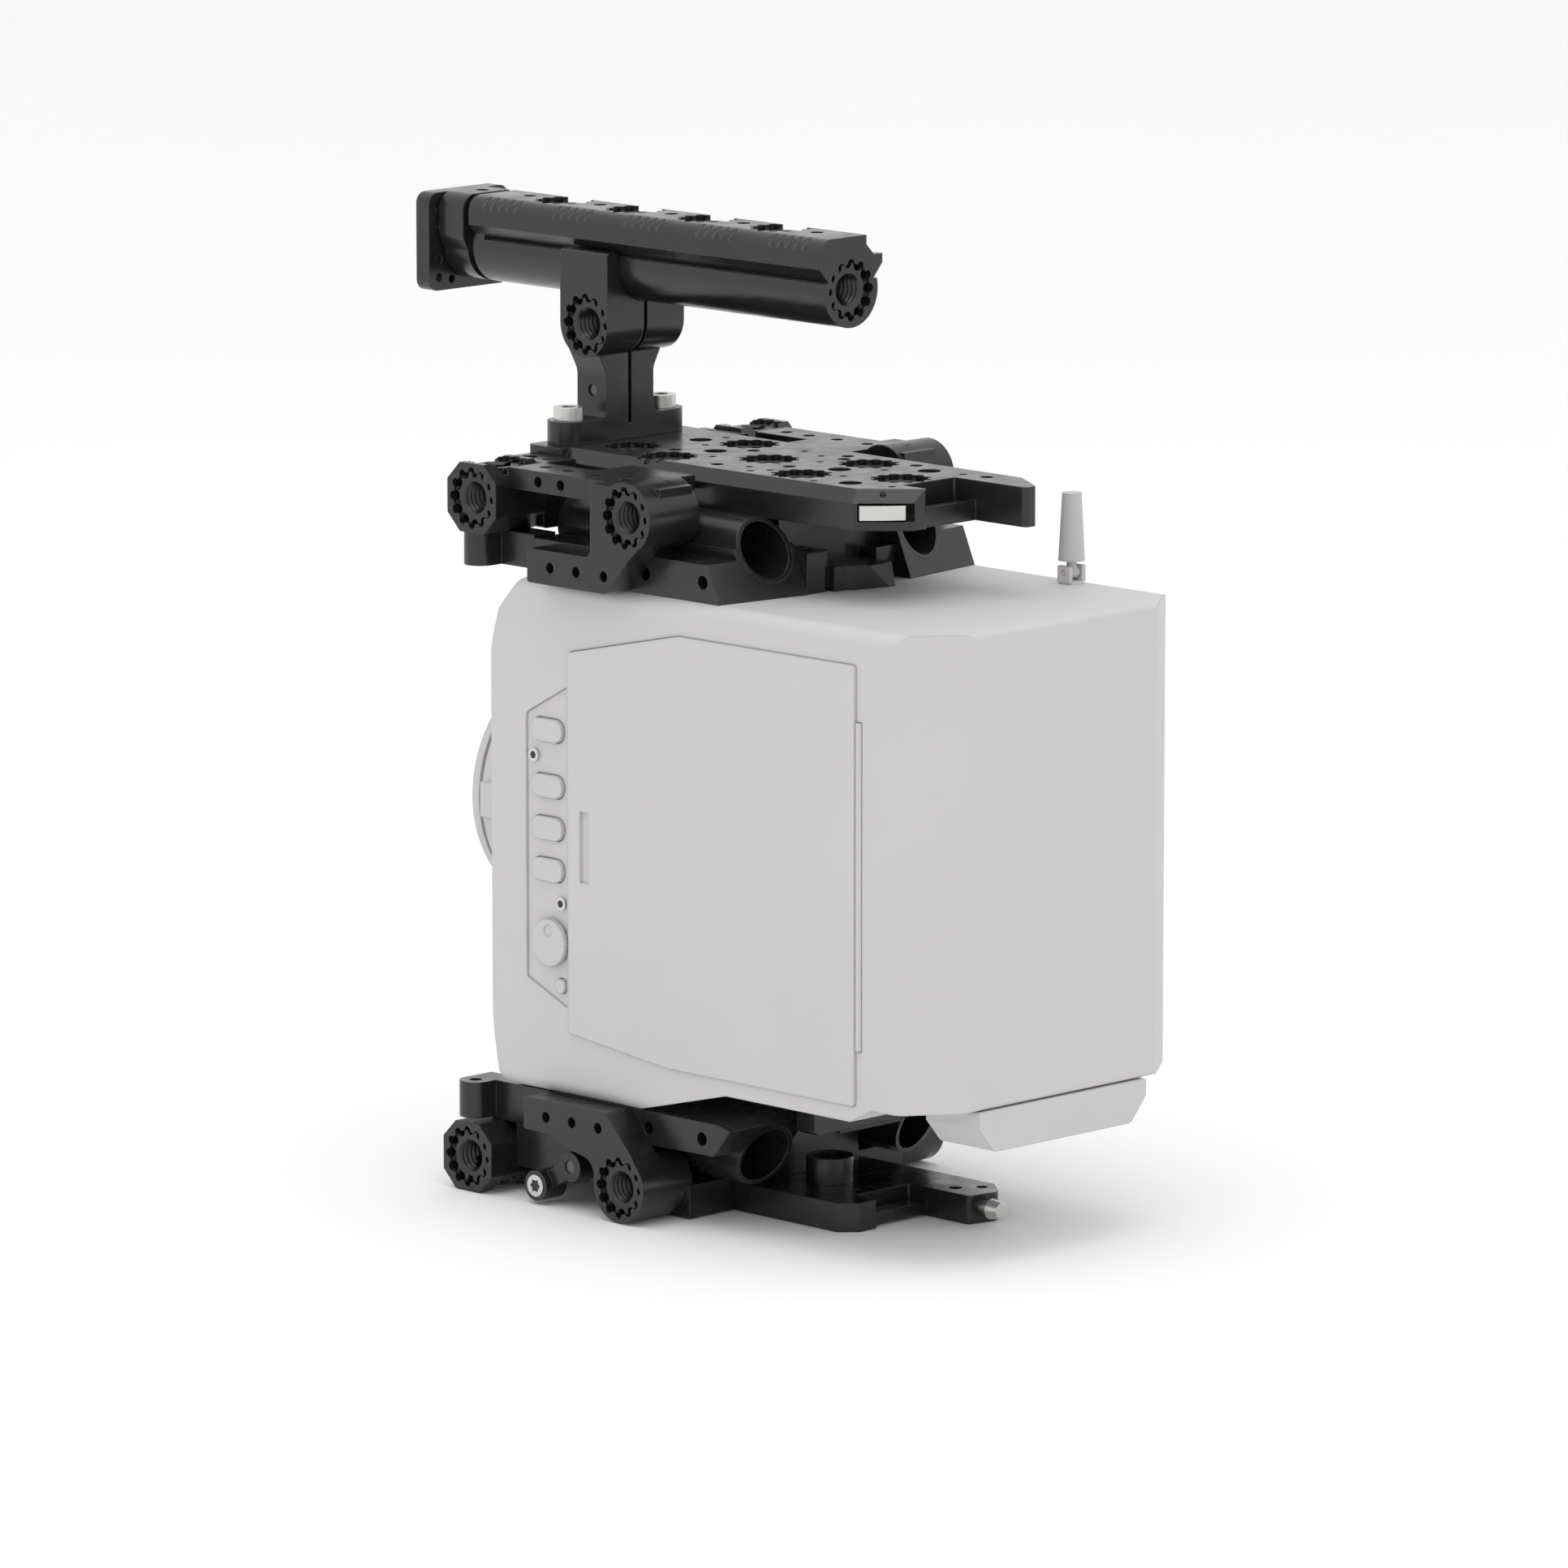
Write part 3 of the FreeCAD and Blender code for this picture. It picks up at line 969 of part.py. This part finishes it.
def make_bottom_base():
    """Front crossbar, core and arms between the base plate and the camera."""
    inner = d.cube_out - d.cube_side - 0.02
    node("bottom_crossbar", box("bottom_crossbar", -inner, inner, d.low_cube_y - 8.5, d.low_cube_y + 9.6, 0.6, 17.6))
    core = box("bottom_core", -19.5, 19.5, -43, 22, d.floor_top, d.belly_low)
    bridge = box("bottom_bridge", -26, 26, 43, 50, 26, d.belly_mid)
    link = box("bottom_link", -12, 12, 20, 46, 24, 30)
    solid = fuse("bottom_base_solid", [core, link, bridge])
    cuts = rod_clearance("bottom_base_room", d.low_rod_z)
    cuts.append(rod("bottom_ring_room", "z", 8, 4, 34, d.floor_top, 12))
    node("bottom_base", cut("bottom_base", solid, cuts))
    for side, word in ((1, "left"), (-1, "right")):
        name = f"bottom_arm_{word}"
        low = 20.5
        arm = prism(name + "_body", "yz", 19.55, d.bracket_in - 0.02, [
            (-29, low), (34.5, low + 1), (41, d.belly_low - 1.2), (36, d.belly_low), (-29, d.belly_low)])
        if side < 0:
            arm = mirrored(name + "_mirror", arm)
        outward = "+x" if side > 0 else "-x"
        cuts = rod_clearance(name + "_room", d.low_rod_z)
        cuts += [drill(outward, 1.9, (d.bracket_in - 0.02) * side, y, 25.8, 5) for y in (9, 30)]
        node(name, cut(name, arm, cuts))


def make_release_lever():
    """The swinging clamp lever beside the left lower bracket, with its screws."""
    pivot_y, pivot_z = -15.6, 12.0
    head_y, head_z = -27.4, 5.2
    ring = rod("lever_ring", "x", 4.2, 50.6, pivot_y, pivot_z, 6)
    reach = math.hypot(head_y - pivot_y, head_z - pivot_z)
    angle = math.degrees(math.atan2(head_z - pivot_z, head_y - pivot_y))
    arm = doc.addObject("Part::Box", "lever_arm")
    arm.Length = 5
    arm.Width = reach
    arm.Height = 5
    arm.Placement = Placement(Vector(51, pivot_y, pivot_z), Rotation(Vector(1, 0, 0), angle))
    arm.Placement = arm.Placement.multiply(Placement(Vector(0, 0, -2.5), Rotation()))
    knob = rod("lever_knob", "x", 4.3, 50.4, head_y, head_z, 8)
    solid = fuse("lever_solid", [ring, arm, knob])
    bore = rod("lever_bore", "x", 1.85, 49, pivot_y, pivot_z, 12)
    seat = rod("lever_seat", "x", 3.2, 57.2, head_y, head_z, 3)
    node("bottom_release_lever", cut("bottom_release_lever", solid, [bore, seat]))
    cap = screw("lever_screw_cap", "+x", 3.1, size(1.4), 57.21, head_y, head_z, 0.5)
    node("lever_screw", cap)
    node("lever_pivot", rod("lever_pivot", "x", 1.8, 46, pivot_y, pivot_z, 10.2))
    blank = box("lever_pivot_blank", 41.4, 49.8, -43.9, -5.2, 7.2, 19.2)
    hole = rod("lever_pivot_hole", "x", 1.8, 45.9, pivot_y, pivot_z, 6)
    node("lever_pivot_block", cut("lever_pivot_block", blank, [hole]))


def check_and_export():
    """Stop on any failed object, then write one file per sub-part."""
    doc.recompute()
    failed = [thing.Label for thing in doc.Objects if {"Invalid", "Error"} & set(thing.State)]
    if failed:
        raise RuntimeError(f"these objects failed: {failed}")
    names = [thing.Label for thing in NODES]
    if len(names) != len(set(names)):
        raise RuntimeError("two sub-parts share a name")
    for thing in NODES:
        if thing.Shape.isNull() or not thing.Shape.isValid():
            raise RuntimeError(f"{thing.Label} has no valid shape")
        thing.Shape.exportStep(f"parts/{thing.Label}.step")
        limits = thing.Shape.BoundBox
        print(f"{thing.Label:28s} {thing.Shape.Volume:10.0f} mm3, {len(thing.Shape.Solids)} solid,"
              f" y {limits.YMin:7.1f} {limits.YMax:7.1f}, z {limits.ZMin:6.1f} {limits.ZMax:6.1f}")


make_handle_bar()
make_handle_front()
riser_middle = make_riser()
make_top_plate(riser_middle)
make_cubes("top", d.cube_y, d.cube_z, "+z")
make_cubes("bottom", d.low_cube_y, d.low_cube_z, "-z")
for word, side in (("left", 1), ("right", -1)):
    make_top_bracket(word, side)
    make_foot(word, side)
    make_bottom_bracket(word, side)
    make_post(word, side)
make_top_crossbar()
make_rods("top", d.rod_z)
make_rods("bottom", d.low_rod_z)
make_top_base()
make_body()
make_left_side()
make_right_side()
make_lens_mount()
make_battery_and_antenna()
make_bottom_plate()
make_bottom_base()
make_release_lever()
check_and_export()
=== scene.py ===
"""Looks of the cinema camera rig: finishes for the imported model, small fittings, light and camera."""
import json
import math

import bmesh
import bpy
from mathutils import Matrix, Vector


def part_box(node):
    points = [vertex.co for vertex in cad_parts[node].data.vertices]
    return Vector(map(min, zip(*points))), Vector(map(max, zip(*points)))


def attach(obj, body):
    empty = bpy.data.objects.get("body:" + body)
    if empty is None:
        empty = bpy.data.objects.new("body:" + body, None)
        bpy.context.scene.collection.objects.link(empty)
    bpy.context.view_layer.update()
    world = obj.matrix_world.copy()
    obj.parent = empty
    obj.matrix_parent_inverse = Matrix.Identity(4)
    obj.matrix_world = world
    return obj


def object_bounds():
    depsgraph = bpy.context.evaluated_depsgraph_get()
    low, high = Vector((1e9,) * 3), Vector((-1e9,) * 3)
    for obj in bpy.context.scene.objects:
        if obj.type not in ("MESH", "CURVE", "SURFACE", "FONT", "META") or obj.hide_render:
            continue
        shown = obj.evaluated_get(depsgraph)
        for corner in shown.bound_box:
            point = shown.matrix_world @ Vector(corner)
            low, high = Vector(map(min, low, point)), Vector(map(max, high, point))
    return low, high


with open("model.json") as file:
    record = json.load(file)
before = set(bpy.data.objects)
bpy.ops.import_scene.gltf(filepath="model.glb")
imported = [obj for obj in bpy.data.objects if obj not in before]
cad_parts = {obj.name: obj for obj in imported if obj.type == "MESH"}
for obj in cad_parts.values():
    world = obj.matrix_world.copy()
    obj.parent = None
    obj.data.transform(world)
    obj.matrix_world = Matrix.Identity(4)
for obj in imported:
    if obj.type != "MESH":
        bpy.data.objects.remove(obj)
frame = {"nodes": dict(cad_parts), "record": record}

CAD_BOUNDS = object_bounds()
RECORD = frame["record"]
SCENE = bpy.context.scene
MM = 0.001

# Where the rig is seen from. Angles are in degrees, the distance and target in metres, and the lens and
# sensor in millimetres.
VIEW_AZIMUTH = 135.0
VIEW_ELEVATION = 10.2
VIEW_DISTANCE = 3.022
VIEW_FOCAL = 253.4
VIEW_SENSOR = 36.0
VIEW_TARGET = Vector((0.030, 0.042, 0.124))

# Studio: a floor just under the rig, a white surround and one broad light, in metres and watts.
FLOOR_SIZE = 60
FLOOR_GAP = 0.0002
FLOOR_DARK = (0.93, 0.93, 0.927)
FLOOR_LIGHT = (0.95, 0.95, 0.948)
SURROUND_STRENGTH = 0.98
LIGHT_PLACE = (0.3, 0.2, 1.9)
LIGHT_TARGET = (0, 0, 0.1)
LIGHT_SIZE = 1.6
LIGHT_POWER = 9.0

# Six-lobed screw sockets as painted shade: each is a thin dark prism, in place of the shadowed recess,
# that starts just inside the head and stands a little proud of it. Its radius swings about a mean share
# of the size that is asked for.
STAR_LOBES = 6
STAR_MEAN = 0.82
STAR_SWING = 0.18
STAR_STEPS = 72
STAR_DEPTH = 0.06 * MM
STAR_SINK = 0.02 * MM
LEVER_STAR = 1.9 * MM
PANEL_STAR = 1.15 * MM
PANEL_SCREW_RADIUS = 1.9 * MM

# The selector wheel's grip: square teeth round the rim.
KNURL_TEETH = 40
KNURL_TIP = 0.16 * MM
KNURL_ROOT = 0.02 * MM
KNURL_STEPS = 320
KNURL_INSET = 1.3 * MM
KNURL_WIDTH = 1.0 * MM

# The lens mount's screws, which lie just behind the rim's front face, and the contacts in its throat,
# whose pitch is in degrees.
MOUNT_SCREWS = 4
MOUNT_SCREW_INSET = 3.3 * MM
MOUNT_SCREW_RADIUS = 1.7 * MM
MOUNT_SCREW_STEPS = 40
MOUNT_SCREW_HEIGHT = 0.7 * MM
MOUNT_SCREW_OFFSET = 0.05 * MM
MOUNT_STAR = 0.95 * MM
MOUNT_STAR_OFFSET = 0.07 * MM
MOUNT_WALL = 7.0 * MM
CONTACTS = 10
CONTACT_MIDDLE = 4.5
CONTACT_PITCH = 5.2
CONTACT_INSET = 1.2 * MM
CONTACT_BACK = 6 * MM
CONTACT_RADIUS = 0.75 * MM
CONTACT_STEPS = 20
CONTACT_LENGTH = 3 * MM

# The fan's louvres: a slanted rib repeats along each slot of the cover. Its width, slant and top end are
# shares of the ribs' spacing.
LOUVRE_ROWS = 8
LOUVRE_RIBS = 16
LOUVRE_PITCH = 7 * MM
LOUVRE_HEIGHT = 2.9 * MM
LOUVRE_DEPTH = 0.45 * MM
LOUVRE_SINK = 0.55 * MM
LOUVRE_SIDE = 6.8 * MM
LOUVRE_BOTTOM = 7.75 * MM
RIB_WIDTH = 0.62
RIB_SLANT = 0.33
RIB_TOP_END = 0.95


# --------------------------------------------------------------------------------------
# Finishes: noise scales in cycles per metre, bevel radii and bump distances in metres
# --------------------------------------------------------------------------------------
# Pale metal that machined edges are painted towards: partly rubbing wear, partly a painted highlight.
EDGE_WEAR_AND_HIGHLIGHT_METAL = (0.9, 0.9, 0.89)
GLASS_BLUE = (0.012, 0.014, 0.024)
GLASS_VIOLET = (0.02, 0.014, 0.026)


class Finish:
    """A node tree with a Principled shader and short ways to add to it."""

    def __init__(self, name):
        self.material = bpy.data.materials.new(name)
        self.material.use_nodes = True
        self.tree = self.material.node_tree
        self.shader = self.tree.nodes["Principled BSDF"]
        self.place = self.add("ShaderNodeTexCoord").outputs["Object"]

    def add(self, kind, **values):
        """A node, with its input sockets and properties set by name."""
        node = self.tree.nodes.new(kind)
        for key, value in values.items():
            if hasattr(node, key):
                setattr(node, key, value)
            else:
                node.inputs[key.replace("_", " ")].default_value = value
        return node

    def link(self, source, target):
        """Join an output to an input."""
        self.tree.links.new(source, target)

    def drive(self, socket, source):
        """Join an output to one of the shader's inputs, by name."""
        self.link(source, self.shader.inputs[socket])

    def noise(self, scale, detail=3.0, stretch=(1, 1, 1)):
        """Cloudy noise, stretched along the axes."""
        mapping = self.add("ShaderNodeMapping", Scale=stretch)
        self.link(self.place, mapping.inputs["Vector"])
        noise = self.add("ShaderNodeTexNoise", Scale=scale, Detail=detail)
        self.link(mapping.outputs["Vector"], noise.inputs["Vector"])
        return noise.outputs["Fac"]

    def spread(self, fac, low, high, start=0.0, end=1.0):
        """Carry a factor that runs from start to end onto a range of values."""
        ramp = self.add("ShaderNodeMapRange", From_Min=start, From_Max=end, To_Min=low, To_Max=high)
        self.link(fac, ramp.inputs["Value"])
        return ramp.outputs["Result"]

    def contrast(self, fac, start, end):
        """Stretch the part of a factor from start to end over 0 to 1."""
        return self.spread(fac, 0.0, 1.0, start, end)

    def edge(self, radius, sharpness):
        """A mask that is 1 along the solid's edges, and the normal that rounds them."""
        bevel = self.add("ShaderNodeBevel", samples=4, Radius=radius)
        normal = self.add("ShaderNodeNewGeometry").outputs["Normal"]
        same = self.add("ShaderNodeVectorMath", operation="DOT_PRODUCT")
        self.link(bevel.outputs["Normal"], same.inputs[0])
        self.link(normal, same.inputs[1])
        mask = self.spread(same.outputs["Value"], 1.0, 0.0, 1.0 - sharpness, 1.0)
        return mask, bevel.outputs["Normal"]

    def blend(self, fac, one, two):
        """Mix two colours, or two colour outputs, by a factor."""
        mix = self.add("ShaderNodeMix", data_type="RGBA")
        self.link(fac, mix.inputs["Factor"])
        for socket, value in ((mix.inputs[6], one), (mix.inputs[7], two)):
            if isinstance(value, tuple):
                socket.default_value = (*value, 1.0)
            else:
                self.link(value, socket)
        return mix.outputs[2]

    def bump(self, height, strength, distance, normal=None):
        """Bump from a height field, laid over another normal."""
        bump = self.add("ShaderNodeBump", Strength=strength, Distance=distance)
        self.link(height, bump.inputs["Height"])
        if normal is not None:
            self.link(normal, bump.inputs["Normal"])
        self.drive("Normal", bump.outputs["Normal"])


def scaled(colour, factor):
    """A colour made lighter or darker, up to white."""
    return tuple(min(1.0, channel * factor) for channel in colour)


def anodised(name, colour, roughness, edge_wear_and_highlight_colour):
    """Bead-blasted, black anodised aluminium with edges painted lighter: faint rubbing wear and a painted
    highlight.
    """
    look = Finish(name)
    cloud = look.noise(55.0, 4.0)
    grain = look.noise(5200.0, 2.0)
    edges, rounded = look.edge(0.00045, 0.35)
    tone = look.blend(look.contrast(cloud, 0.35, 0.65), scaled(colour, 0.86), scaled(colour, 1.16))
    speck = look.blend(look.contrast(grain, 0.4, 0.62), tone, scaled(colour, 1.3))
    # Edges are painted lighter in patches: partly rubbing wear, partly a painted highlight along the
    # edges.
    edge_wear_and_highlight_mask = look.add("ShaderNodeMath", operation="MULTIPLY")
    look.link(edges, edge_wear_and_highlight_mask.inputs[0])
    look.link(look.spread(look.noise(900.0, 3.0), 0.1, 0.75, 0.42, 0.6), edge_wear_and_highlight_mask.inputs[1])
    look.drive("Base Color", look.blend(edge_wear_and_highlight_mask.outputs[0], speck, edge_wear_and_highlight_colour))
    smears = look.noise(130.0, 5.0)
    look.drive("Roughness", look.spread(smears, roughness - 0.05, roughness + 0.08, 0.3, 0.7))
    look.shader.inputs["Metallic"].default_value = 0.0
    look.shader.inputs["IOR"].default_value = 1.52
    look.bump(grain, 0.08, 0.00001, rounded)
    return look.material


def machined(name, colour, roughness, stretch):
    """Turned or brushed metal, with tool lines stretched along one axis."""
    look = Finish(name)
    lines = look.noise(2400.0, 3.0, stretch)
    edges, rounded = look.edge(0.0002, 0.4)
    tone = look.blend(look.contrast(lines, 0.35, 0.65), scaled(colour, 0.9), colour)
    # Edges painted paler: rubbing wear and a painted highlight.
    look.drive("Base Color", look.blend(look.spread(edges, 0.0, 0.5), tone, EDGE_WEAR_AND_HIGHLIGHT_METAL))
    look.drive("Roughness", look.spread(lines, roughness, roughness + 0.16, 0.3, 0.7))
    look.shader.inputs["Metallic"].default_value = 1.0
    look.bump(lines, 0.12, 0.00002, rounded)
    return look.material


def moulded(name, colour, roughness, grain_scale=1500.0, shade=0.03):
    """Pale, finely textured paint or plastic."""
    look = Finish(name)
    cloud = look.noise(24.0, 3.0)
    grain = look.noise(grain_scale, 2.0)
    edges, rounded = look.edge(0.0007, 0.3)
    tone = look.blend(look.contrast(cloud, 0.35, 0.65), scaled(colour, 1 - shade), colour)
    # Edges painted lighter: a painted highlight along them.
    look.drive("Base Color", look.blend(look.spread(edges, 0.0, 0.25), tone, scaled(colour, 1.12)))
    look.drive("Roughness", look.spread(grain, roughness - 0.04, roughness + 0.06, 0.3, 0.7))
    look.bump(grain, 0.10, 0.00003, rounded)
    return look.material


def coated_glass():
    """The sensor's cover, nearly black, with a faint tint."""
    look = Finish("coated_glass")
    patches = look.contrast(look.noise(40.0), 0.3, 0.7)
    look.drive("Base Color", look.blend(patches, GLASS_BLUE, GLASS_VIOLET))
    look.drive("Roughness", look.spread(look.noise(500.0), 0.04, 0.09, 0.3, 0.7))
    look.shader.inputs["Coat Weight"].default_value = 1.0
    look.bump(look.noise(60.0), 0.02, 0.00005)
    return look.material


# Each finish has a colour and a roughness. Then anodised takes the colour its edges are painted towards,
# for rubbing wear and a painted highlight, machined takes the stretch of its tool lines along the axes,
# and moulded takes the scale of its grain and the depth of its shading.
FINISHES = {
    "anodised_black": anodised("anodised_black", (0.0105, 0.0105, 0.0102), 0.25,
                               (0.09, 0.09, 0.088)),
    "handle_black": anodised("handle_black", (0.012, 0.012, 0.0117), 0.23, (0.1, 0.1, 0.097)),
    "bright_steel": machined("bright_steel", (0.66, 0.66, 0.645), 0.24, (1, 1, 6)),
    "dark_steel": machined("dark_steel", (0.14, 0.14, 0.14), 0.34, (6, 1, 1)),
    "body_grey": moulded("body_grey", (0.575, 0.562, 0.567), 0.62),
    "body_plastic": moulded("body_plastic", (0.56, 0.55, 0.555), 0.55, 2300.0, 0.02),
    "antenna_rubber": moulded("antenna_rubber", (0.52, 0.51, 0.512), 0.7, 3100.0, 0.05),
    "cover_glass": coated_glass(),
    "blackened": anodised("blackened", (0.006, 0.006, 0.006), 0.4, (0.03, 0.03, 0.03)),
    "contact_gold": machined("contact_gold", (0.83, 0.62, 0.26), 0.22, (1, 6, 1)),
}


def finish_nodes():
    """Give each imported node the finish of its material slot."""
    for part in RECORD["subparts"]:
        thing = frame["nodes"][part["node"]]
        thing.data.materials.clear()
        thing.data.materials.append(FINISHES[part["material_slot"]])


# --------------------------------------------------------------------------------------
# Small fittings
# --------------------------------------------------------------------------------------
def add_piece(name, bm, body, finish):
    """Turn a bmesh into a piece that rides on a body."""
    bmesh.ops.recalc_face_normals(bm, faces=bm.faces)
    mesh = bpy.data.meshes.new(name)
    bm.to_mesh(mesh)
    bm.free()
    piece = bpy.data.objects.new(name, mesh)
    SCENE.collection.objects.link(piece)
    piece.data.materials.append(FINISHES[finish])
    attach(piece, body)


def extrude_outline(bm, outline, facing, depth):
    """A prism: the outline's points, pushed along the facing direction."""
    base = [bm.verts.new(point) for point in outline]
    top = [bm.verts.new(Vector(point) + Vector(facing) * depth) for point in outline]
    bm.faces.new(base)
    bm.faces.new(top)
    for index in range(len(outline)):
        after = (index + 1) % len(outline)
        bm.faces.new((base[index], base[after], top[after], top[index]))


def across(facing):
    """Two directions that span the plane across a facing direction."""
    facing = Vector(facing)
    first = Vector((0, 0, 1)) if abs(facing.z) < 0.5 else Vector((1, 0, 0))
    return first.cross(facing), first


def ring_outline(centre, facing, radius_at, steps):
    """Points round a centre, at a radius that depends on the angle."""
    one, two = across(facing)
    points = []
    for step in range(steps):
        angle = 2 * math.pi * step / steps
        spoke = one * math.cos(angle) + two * math.sin(angle)
        points.append(Vector(centre) + spoke * radius_at(angle))
    return points


def add_star(name, centre, facing, radius, body):
    """A dark six-lobed star on a screw's head: painted shade in place of the socket's recess."""
    def lobed(angle):
        return radius * (STAR_MEAN + STAR_SWING * math.cos(STAR_LOBES * angle))

    bm = bmesh.new()
    extrude_outline(bm, ring_outline(centre, facing, lobed, STAR_STEPS), facing, STAR_DEPTH)
    # Near-black finish: painted shade where the socket's recess would be in shadow.
    add_piece(name, bm, body, "blackened")


def add_screw_stars():
    """Dark stars of painted shade for the sockets on the release lever's screw and on the control strip's
    two screws.
    """
    low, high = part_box("lever_screw")
    centre = (low + high) / 2
    spot = (high.x - STAR_SINK, centre.y, centre.z)
    add_star("lever_screw_socket_painted_shade", spot, (1, 0, 0), LEVER_STAR, "lever")
    low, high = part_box("panel_screws")
    upper = (high.x - STAR_SINK, low.y + PANEL_SCREW_RADIUS, high.z - PANEL_SCREW_RADIUS)
    lower = (high.x - STAR_SINK, high.y - PANEL_SCREW_RADIUS, low.z + PANEL_SCREW_RADIUS)
    for number, spot in enumerate((upper, lower), start=1):
        add_star(f"panel_screw_socket_painted_shade_{number}", spot, (1, 0, 0), PANEL_STAR, "rig")


def add_wheel_knurl():
    """The toothed grip round the selector wheel."""
    low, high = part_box("selector_wheel")
    centre = (low + high) / 2
    radius = (high.z - low.z) / 2

    def toothed(angle):
        return radius + (KNURL_TIP if math.cos(KNURL_TEETH * angle) > 0 else KNURL_ROOT)

    bm = bmesh.new()
    spot = (high.x - KNURL_INSET, centre.y, centre.z)
    extrude_outline(bm, ring_outline(spot, (1, 0, 0), toothed, KNURL_STEPS), (1, 0, 0), KNURL_WIDTH)
    add_piece("selector_wheel_knurl", bm, "wheel", "body_plastic")


def add_mount_details():
    """Four screws just behind the mount rim's front face, and a row of contacts low in its throat."""
    low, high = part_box("lens_mount_rim")
    centre = (low + high) / 2
    outer = (high.x - low.x) / 2
    front, back = (0, -1, 0), (0, 1, 0)

    def around(angle, radius, y):
        return Vector((centre.x + math.cos(angle) * radius, y, centre.z + math.sin(angle) * radius))

    for number in range(MOUNT_SCREWS):
        spot = around(math.pi / 4 + number * math.pi / 2, outer - MOUNT_SCREW_INSET, low.y)
        head = spot + Vector((0, MOUNT_SCREW_OFFSET, 0))
        bm = bmesh.new()
        outline = ring_outline(head, front, lambda _: MOUNT_SCREW_RADIUS, MOUNT_SCREW_STEPS)
        extrude_outline(bm, outline, back, MOUNT_SCREW_HEIGHT)
        add_piece(f"mount_screw_{number + 1}", bm, "rig", "bright_steel")
        # Each screw's socket is a dark star of painted shade.
        socket = spot + Vector((0, MOUNT_STAR_OFFSET, 0))
        add_star(f"mount_screw_socket_painted_shade_{number + 1}", socket, front, MOUNT_STAR, "rig")
    throat = outer - MOUNT_WALL
    bm = bmesh.new()
    for number in range(CONTACTS):
        angle = math.radians(-90 + (number - CONTACT_MIDDLE) * CONTACT_PITCH)
        spot = around(angle, throat - CONTACT_INSET, high.y + CONTACT_BACK)
        outline = ring_outline(spot, front, lambda _: CONTACT_RADIUS, CONTACT_STEPS)
        extrude_outline(bm, outline, back, CONTACT_LENGTH)
    add_piece("mount_contacts", bm, "rig", "contact_gold")


def add_fan_mesh():
    """A dark louvre behind each slot of the fan cover."""
    low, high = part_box("fan_cover")
    start = Vector((high.x - LOUVRE_SINK, low.y + LOUVRE_SIDE, low.z + LOUVRE_BOTTOM))
    spacing = (high.y - LOUVRE_SIDE - start.y) / LOUVRE_RIBS
    for row in range(LOUVRE_ROWS):
        bm = bmesh.new()
        z = start.z + row * LOUVRE_PITCH
        for rib in range(LOUVRE_RIBS):
            y = start.y + rib * spacing
            outline = [(start.x, y, z),
                       (start.x, y + spacing * RIB_WIDTH, z),
                       (start.x, y + spacing * RIB_TOP_END, z + LOUVRE_HEIGHT),
                       (start.x, y + spacing * RIB_SLANT, z + LOUVRE_HEIGHT)]
            extrude_outline(bm, outline, (1, 0, 0), LOUVRE_DEPTH)
        add_piece(f"fan_louvre_{row + 1}", bm, "rig", "blackened")


# --------------------------------------------------------------------------------------
# Floor, light and camera
# --------------------------------------------------------------------------------------
def make_floor():
    """A large pale floor."""
    bpy.ops.mesh.primitive_plane_add(size=FLOOR_SIZE, location=(0, 0, CAD_BOUNDS[0].z - FLOOR_GAP))
    floor = bpy.context.object
    floor.name = "floor"
    look = Finish("floor_paper")
    look.drive("Base Color", look.blend(look.noise(3.0), FLOOR_DARK, FLOOR_LIGHT))
    look.shader.inputs["Roughness"].default_value = 0.9
    floor.data.materials.append(look.material)


def add_area(name, location, aim, size_across, power):
    """A soft square light that looks at a point."""
    data = bpy.data.lights.new(name, "AREA")
    data.size = size_across
    data.energy = power
    lamp = bpy.data.objects.new(name, data)
    lamp.location = location
    lamp.rotation_euler = (Vector(aim) - Vector(location)).to_track_quat("-Z", "Y").to_euler()
    SCENE.collection.objects.link(lamp)


def make_light():
    """A white surround with a broad soft light above, shown without a filmic curve."""
    world = bpy.data.worlds.new("studio")
    SCENE.world = world
    world.use_nodes = True
    surround = world.node_tree.nodes["Background"]
    surround.inputs["Color"].default_value = (1.0, 1.0, 1.0, 1.0)
    surround.inputs["Strength"].default_value = SURROUND_STRENGTH
    add_area("top_light", LIGHT_PLACE, LIGHT_TARGET, LIGHT_SIZE, LIGHT_POWER)
    SCENE.view_settings.view_transform = "Standard"
    SCENE.view_settings.look = "None"


def make_camera():
    """A long lens on the rig's rear left quarter."""
    azimuth = math.radians(VIEW_AZIMUTH)
    elevation = math.radians(VIEW_ELEVATION)
    level = math.cos(elevation)
    back = Vector((math.sin(azimuth) * level, -math.cos(azimuth) * level, math.sin(elevation)))
    data = bpy.data.cameras.new("camera")
    data.lens = VIEW_FOCAL
    data.sensor_width = VIEW_SENSOR
    camera = bpy.data.objects.new("camera", data)
    camera.location = VIEW_TARGET + back * VIEW_DISTANCE
    camera.rotation_euler = (-back).to_track_quat("-Z", "Y").to_euler()
    SCENE.collection.objects.link(camera)
    SCENE.camera = camera


finish_nodes()
add_screw_stars()
add_wheel_knurl()
add_mount_details()
add_fan_mesh()
make_floor()
make_light()
make_camera()
